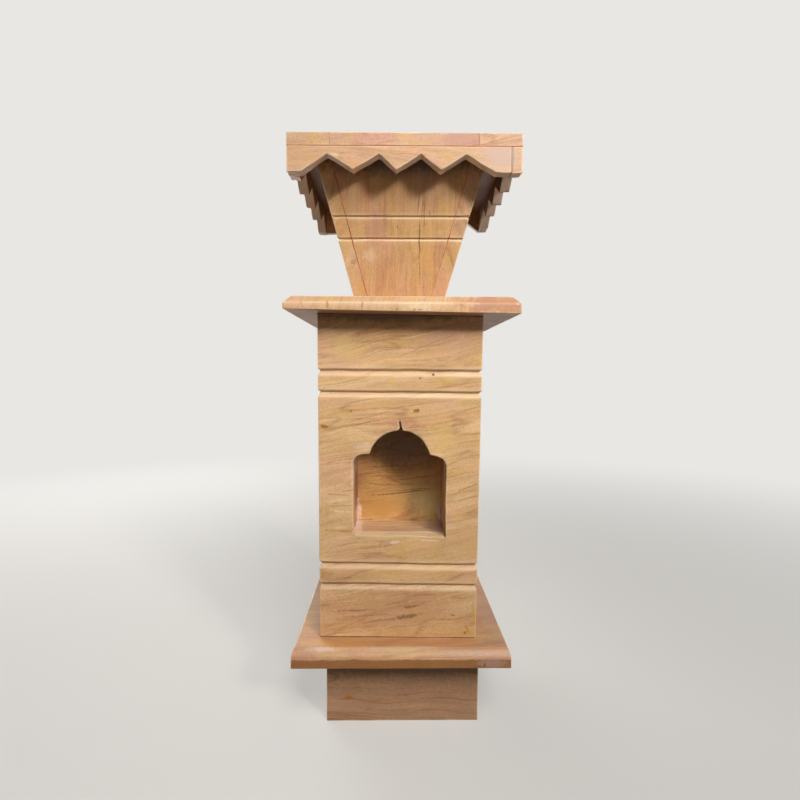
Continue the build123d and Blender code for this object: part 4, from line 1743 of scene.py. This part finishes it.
@dataclass
class Collar:
    """The square collar round the planter's mouth: rim strips on zigzag skirt boards."""

    half: float = 148.0
    rim_low: float = 768.0
    rim_high: float = 784.2
    strip: float = 54.0
    skirt_height: float = 32.2
    stock: float = 14.0
    notches: int = 4
    pitch: float = 62.5
    notch_depth: float = 19.5
    arris: float = 1.1
    seam: float = 0.7
    turn: float = -0.6
    shift: float = 2.8

    RIM_MARKS = (
        Mark((-20, -148, 773), (20, 9, 1.6), "#b98a5e", 0.5, lean=12),
        Mark((88, -148, 773), (5, 9, 6), "#c98a6c", 0.5, lean=30),
        Mark((-60, -148, 772), (1.6, 9, 4), "#d08c5c", 0.7),
        Mark((94, -148, 777), (2.0, 9, 9), "#b0583a", 0.75, lean=8, ragged=1.3),
        Mark((93, -148, 769.4), (12, 9, 2.2), "#b0583a", 0.7, ragged=1.3),
        Mark((-97, -148, 781), (2.8, 9, 4), "#a8502f", 0.85),
        Mark((94, -148, 776), (70, 9, 14), "#bd8d79", 0.65, ragged=1.0, core=0.5),
        Mark((30, -148, 776), (40, 9, 6), "#cf9f80", 0.4, ragged=1.3),
    )
    PATCH = Mark((122, -148, 756), (36, 12, 26), "#c9aea2", 0.72, ragged=0.7, core=0.2)
    SKIRT_MARKS = (
        Mark((-86, -148, 756), (9, 9, 4), "#e6cdbb", 0.7, ragged=1.5),
        Mark((8, -148, 758), (34, 9, 1.4), "#c07a45", 0.6, lean=-4, ragged=1.3),
        Mark((60, -148, 752), (30, 9, 1.6), "#c58a55", 0.5, lean=-6, ragged=1.3),
        Mark((-60, -148, 742), (26, 9, 7), "#dba463", 0.5, ragged=1.3),
        PATCH,
        Mark((-100, -148, 750), (40, 9, 9), "#d29d62", 0.35, ragged=1.3),
        Mark((-20, -148, 762), (50, 9, 1.8), "#c98752", 0.5, lean=-3, ragged=1.3),
        Mark((-90, -148, 752), (5, 9, 3.5), "#ecdccf", 0.85, ragged=1.5),
    )

    def section(self) -> Section:
        """The collar's outer form."""
        return Section(self.half, self.rim_low, self.rim_high, turn=self.turn, shift=self.shift)

    def build(self) -> None:
        """Builds the rim, the skirt and their joints."""
        self._rim()
        self._skirt()
        self._run_joints()

    def _rim(self) -> None:
        """Builds the four rim strips."""
        section = self.section()
        # Painted shade on the rim strips' undersides over the planter's mouth.
        painted_shade = Mark((0, 0, 767), (140, 140, 5), "#5a3c24", 0.6, ragged=0.4, core=0.7)
        strips = {
            "rim_front": ((10, 4, 0), 81.0, self.RIM_MARKS, (Side.LEFT, Side.RIGHT)),
            "rim_back": ((12, -5, 0), 83.0, (), (Side.LEFT, Side.RIGHT)),
            "rim_left": ((8, 10, 0), 85.0, (), (Side.RIGHT,)),
            "rim_right": ((5, 12, 0), 87.0, (), (Side.LEFT,)),
        }
        for node, (turn, seed, marks, joined) in strips.items():
            stone = teakwood(
                node,
                turn,
                seed,
                ground="#cfa27e",
                pale="#d8b28c",
                blush="#d39c88",
                # The rim's undersides get a dark sawn colour: painted shade over the planter's mouth.
                sawn="#6a4a35",
                blushing=0.7,
                marks=(*marks, painted_shade),
            )
            slab = node_slab(node, section, stone, (*joined, Side.BOTTOM), seed=seed, arris=self.arris)
            slab.high[2] = self.rim_high
            slab.complete(slab.build())

    def _skirt(self) -> None:
        """Grows the four skirt boards and turns each to its side."""
        tree = zigzag_board_tree()
        length = 2 * self.half - self.stock
        margin = (length - self.notches * self.pitch) / 2
        centre = (-self.stock / 2, self.stock / 2 - self.half, self.rim_low - self.skirt_height / 2)
        middle = Matrix.Translation([v * MM for v in centre])
        # Painted shade on the inner faces of the skirt boards.
        painted_shade_left = Mark((-124, 0, 750), (11, 400, 70), "#5e3d1c", 0.68, ragged=0.3, core=0.8)
        painted_shade_right = Mark((129, 0, 750), (11, 400, 70), "#452a12", 0.75, ragged=0.3, core=0.8)
        painted_shade_back = Mark((0, 126, 750), (400, 10, 70), "#644327", 0.65, ragged=0.3, core=0.8)
        boards = (
            ("skirt_front", (8, -5, 0), self.SKIRT_MARKS, (-3.2, -7.0), (0.0, 0.0)),
            ("skirt_right", (6, 8, 0), (painted_shade_right, self.PATCH), (2.0, -3.0), (0.0, 0.0)),
            ("skirt_back", (10, 4, 0), (painted_shade_back,), (2.4, 2.0), (0.0, 5.5)),
            ("skirt_left", (5, -8, 0), (painted_shade_left,), (1.2, -2.0), (5.5, 0.0)),
        )
        stand = self.section().stand()
        for turn, (node, bedding, marks, strays, drops) in enumerate(boards):
            stone = teakwood(
                node,
                bedding,
                91.0 + 3 * turn,
                ground="#cfa47b",
                pale="#dab48c",
                # The teeth's sawn soffits are near white: the pale sawn finish, with painted light.
                sawn="#f0e6e0",
                blushing=0.6,
                veining=0.35,
                marks=marks,
            )
            sizes = {
                "Length": length * MM,
                "Height": self.skirt_height * MM,
                "Thickness": self.stock * MM,
                "Left margin": margin * MM,
                "Notch pitch": self.pitch * MM,
                "Notch depth": self.notch_depth * MM,
                "Arris": self.arris * MM,
                "Wobble": 3.0 * MM,
                "Tip lift": 2.8 * MM,
                "Slant": 1.5 * MM,
                "Peak place": 0.52,
                "Peak swing": 0.08,
                "Middle stray": strays[0] * MM,
                "Side stray": strays[1] * MM,
                "Left drop": drops[0] * MM,
                "Right drop": drops[1] * MM,
                "Notches": self.notches,
                "Seed": 5 + turn,
                "Stone": stone.material(),
            }
            piece = tree.grow(f"{node}_stone", sizes)
            side = Matrix.Rotation(turn * math.pi / 2, 4, "Z")
            piece.data.transform(stand @ side @ middle)
            even_shading(piece)
            mark_wear(piece.data)
            finish_piece(piece, (node,))

    def _run_joints(self) -> None:
        """Runs red resin along the rim's bed, across the rim's butts and down the skirt's corners."""
        outer, joint = self.half - 0.25, self.half - self.strip
        bed = square_line(outer, self.rim_low)
        butts = [
            np.array([(sx * joint, sy * outer, self.rim_low), (sx * joint, sy * outer, self.rim_high - 0.8)])
            for sx, sy in CORNERS
        ]
        face, near = self.rim_high - 0.3, self.half - 1
        tops = [
            np.array([(sx * joint, sy * near, face), (sx * joint, sy * joint, face)])
            for sx, sy in CORNERS
        ]
        corner = self.half - self.stock
        low = self.rim_low - self.skirt_height + 0.8
        corners = []
        for turn in range(4):
            spin = np.array(Matrix.Rotation(turn * math.pi / 2, 3, "Z"))
            corners.append(np.array([(corner, -outer, low), (corner, -outer, self.rim_low)]) @ spin.T)
        section = self.section()
        red = [section.place(line) for line in (bed, *butts, *tops)]
        run_resin("collar_joints", red, RED_RESIN, self.seam, uneven=1.0, seed=31)
        run_resin("skirt_joints", [section.place(c) for c in corners], BROWN_RESIN, 0.5 * self.seam, seed=32)


# ---------------------------------------------------------------- shared work on pieces


def square_line(half: float, level: float, spacing: float = 12.0) -> np.ndarray:
    """A closed square line round the Z axis, in millimetres."""
    corners = [(-half, -half), (half, -half), (half, half), (-half, half), (-half, -half)]
    count = math.ceil(2 * half / spacing)
    runs = [np.linspace(a, b, count, endpoint=False) for a, b in zip(corners, corners[1:])]
    flat = np.concatenate([*runs, [corners[-1]]])
    return np.insert(flat, 2, level, axis=1)


def run_resin(
    name: str,
    lines: Sequence[np.ndarray],
    resin: Resin,
    radius: float,
    uneven: float = 1.4,
    patch: float = 26.0,
    sides: int = 6,
    seed: int = 0,
) -> None:
    """Runs an uneven bead of resin along each line.

    Args:
        name: The piece's name.
        lines: Each bead's path in millimetres.
        resin: What it is made of.
        radius: The bead's radius.
        uneven: How much the radius varies, as a share of it.
        patch: The size of its thick and thin patches.
        sides: How many sides the bead has.
        seed: Picks where it is thick.
    """
    sizes = {
        "Radius": radius * MM,
        "Unevenness": uneven,
        "Patch size": patch * MM,
        "Spacing": 2.5 * MM,
        "Sides": sides,
        "Seed": seed,
        "Resin": resin.material(),
    }
    piece = bead_tree().grow(name, sizes, path_mesh(name, lines))
    finish_piece(piece)


def cut_away(piece: bpy.types.Object, waste: bpy.types.Object) -> None:
    """Cuts a piece of waste out of a piece, and removes the waste."""
    cut = piece.modifiers.new("cut", "BOOLEAN")
    cut.operation, cut.solver, cut.object = "DIFFERENCE", "EXACT", waste
    bake_modifiers(piece)
    bpy.data.objects.remove(waste)


def bore(piece: bpy.types.Object, radius: float, low: float, high: float, sides: int = 48) -> None:
    """Bores an upright hole on the Z axis through a piece.

    Args:
        piece: The piece.
        radius: The hole's radius in millimetres.
        low: The level of the piece's underside.
        high: The level of its top.
        sides: How many sides the hole has.
    """
    angles = np.linspace(0, 2 * math.pi, sides, endpoint=False)
    flat = np.stack([radius * np.cos(angles), radius * np.sin(angles)], 1)
    points = np.concatenate([np.insert(flat, 2, z, axis=1) for z in (low - 2, high + 2)])
    ring = list(range(sides))
    faces = [ring[::-1], [i + sides for i in ring]]
    faces += [[i, (i + 1) % sides, (i + 1) % sides + sides, i + sides] for i in ring]
    cut_away(piece, make_piece("bore_waste", points, faces, piece.data.materials[0]))


# ---------------------------------------------------------------- studio


@dataclass
class Lamp:
    """A soft square lamp, aimed at a point. Places and sizes are metres."""

    name: str
    place: tuple[float, float, float]
    aim: tuple[float, float, float]
    size: float
    power: float
    colour: str = "#ffffff"
    fan: float = 180.0  # degrees over which its grid lets the light out

    def build(self) -> None:
        """Makes the lamp."""
        data = bpy.data.lights.new(self.name, "AREA")
        data.shape, data.size, data.energy = "SQUARE", self.size, self.power
        data.spread = math.radians(self.fan)
        data.color = linear(self.colour)[:3]
        lamp = bpy.data.objects.new(self.name, data)
        lamp.location = self.place
        lamp.rotation_euler = (Vector(self.aim) - Vector(self.place)).to_track_quat("-Z", "Y").to_euler()
        bpy.context.scene.collection.objects.link(lamp)


@dataclass
class Studio:
    """A plain pale floor and background, three soft lamps and the camera."""

    backdrop: str = "#e9e7e3"
    floor_colour: str = "#dedbd6"
    floor_bounce: str = "#6f5c47"  # what the floor's light on the object has of its colour
    veil: float = 0.45  # how much of the backdrop's light lies over the floor's own
    ambient: tuple[float, float, float] = (0.030, 0.024, 0.017)
    camera_place: tuple[float, float, float] = (-0.01397, -0.85284, 0.48356)
    camera_yaw: float = 0.87  # degrees to the right
    camera_pitch: float = -2.76  # degrees up
    camera_roll: float = 0.25  # degrees, clockwise picture
    focal_length: float = 24.86
    lamps: tuple[Lamp, ...] = (
        Lamp("key_softbox", (1.31, -2.01, 1.62), (-0.08, 0.0, 0.49), 0.42, 1.75, "#fff8f0", 33.0),
        Lamp("high_softbox", (0.4, -1.9, 2.3), (0.0, -0.1, 0.35), 0.95, 40.0),
        Lamp("back_softbox", (-1.5, 2.2, 0.95), (0.0, 0.0, 0.45), 1.8, 54.0),
    )

    def build(self) -> None:
        """Sets up the floor, the world, the lamps and the camera."""
        bpy.context.scene.view_settings.view_transform = "Standard"
        self._floor()
        self._world()
        for lamp in self.lamps:
            lamp.build()
        self._camera()

    def _background_rays(self, tree: Tree) -> Socket:
        """One for the rays that should see the pale background, nought for the light on the object."""
        path = tree.nodes.new("ShaderNodeLightPath")
        seen = number_calc(tree, "MAXIMUM", path.outputs[CAMERA_RAY], path.outputs[GLOSSY_RAY])
        return number_calc(tree, "MAXIMUM", seen, path.outputs[TRANSMISSION_RAY])

    def _floor(self) -> None:
        """A round pale floor that fades into the background."""
        radius, sides = 6000.0, 96
        angles = np.linspace(0, 2 * math.pi, sides, endpoint=False)
        points = np.stack([radius * np.cos(angles), radius * np.sin(angles), np.zeros(sides)], 1)
        material, tree = new_material("studio_floor_matt_painted")
        place = add_node(tree, "ShaderNodeTexCoord", {}, OBJECT_COORDINATES)
        away = vector_calc(tree, "LENGTH", place, out=LENGTH_OUT)
        fade = smooth_range(tree, away, 0.5, 2.6, self.veil)
        seen = self._background_rays(tree)
        share = number_calc(tree, "MULTIPLY", fade, seen)
        colour = blend(tree, seen, linear(self.floor_bounce), linear(self.floor_colour))
        paint = add_node(tree, "ShaderNodeBsdfPrincipled", {"Base Color": colour, "Roughness": 0.8})
        pale = add_node(tree, "ShaderNodeEmission", {"Color": linear(self.backdrop)})
        mixed = add_node(tree, "ShaderNodeMixShader", {0: share, 1: paint, 2: pale})
        add_node(tree, "ShaderNodeOutputMaterial", {"Surface": mixed})
        floor = make_piece("floor", points, [range(sides)], material)

    def _world(self) -> None:
        """A dim warm world that shows pale to the camera and in reflections."""
        world = bpy.data.worlds.new("studio")
        bpy.context.scene.world = world
        world.use_nodes = True
        tree = world.node_tree
        tree.nodes.clear()
        seen = self._background_rays(tree)
        colour = blend(tree, seen, (*self.ambient, 1.0), linear(self.backdrop))
        light = add_node(tree, "ShaderNodeBackground", {"Color": colour})
        add_node(tree, "ShaderNodeOutputWorld", {"Surface": light})

    def _camera(self) -> None:
        """Places the camera."""
        data = bpy.data.cameras.new("camera")
        data.sensor_width, data.lens = 36.0, self.focal_length
        data.clip_start, data.clip_end = 0.02, 50.0
        camera = bpy.data.objects.new("camera", data)
        turns = (
            (-self.camera_yaw, "Z"),
            (90 + self.camera_pitch, "X"),
            (self.camera_roll, "Z"),
        )
        turned = Matrix.Identity(4)
        for angle, axis in turns:
            turned = turned @ Matrix.Rotation(math.radians(angle), 4, axis)
        camera.matrix_world = Matrix.Translation(self.camera_place) @ turned
        bpy.context.scene.collection.objects.link(camera)
        bpy.context.scene.camera = camera


# ---------------------------------------------------------------- main


def dress_nodes(
    nodes: dict[str, bpy.types.Object], names: Iterable[str], material: bpy.types.Material
) -> None:
    """Gives CAD nodes that stay as they are a material.

    Args:
        nodes: The frame's nodes.
        names: Which of them.
        material: The material.
    """
    for name in names:
        node = nodes[name]
        if not node.material_slots:
            node.data.materials.append(material)
        for slot in node.material_slots:
            slot.material = material
        LOG.info("%s: CAD node, %s", name, material.name)


def main() -> None:
    """Builds the planter round its frame."""
    logging.basicConfig(level=logging.INFO, format="%(name)s %(message)s")
    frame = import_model()
    Studio().build()
    for part in (Foot(), BaseSlab(), Shaft(), Niche(), CapSlab(), Planter(), Collar()):
        LOG.info("section %s", type(part).__name__)
        part.build()
    dowels = ("foot_dowels", "base_dowels", "cap_dowels", "planter_dowels")
    dress_nodes(frame["nodes"], dowels, DrawnSteel().material())


if __name__ == "__main__":
    main()
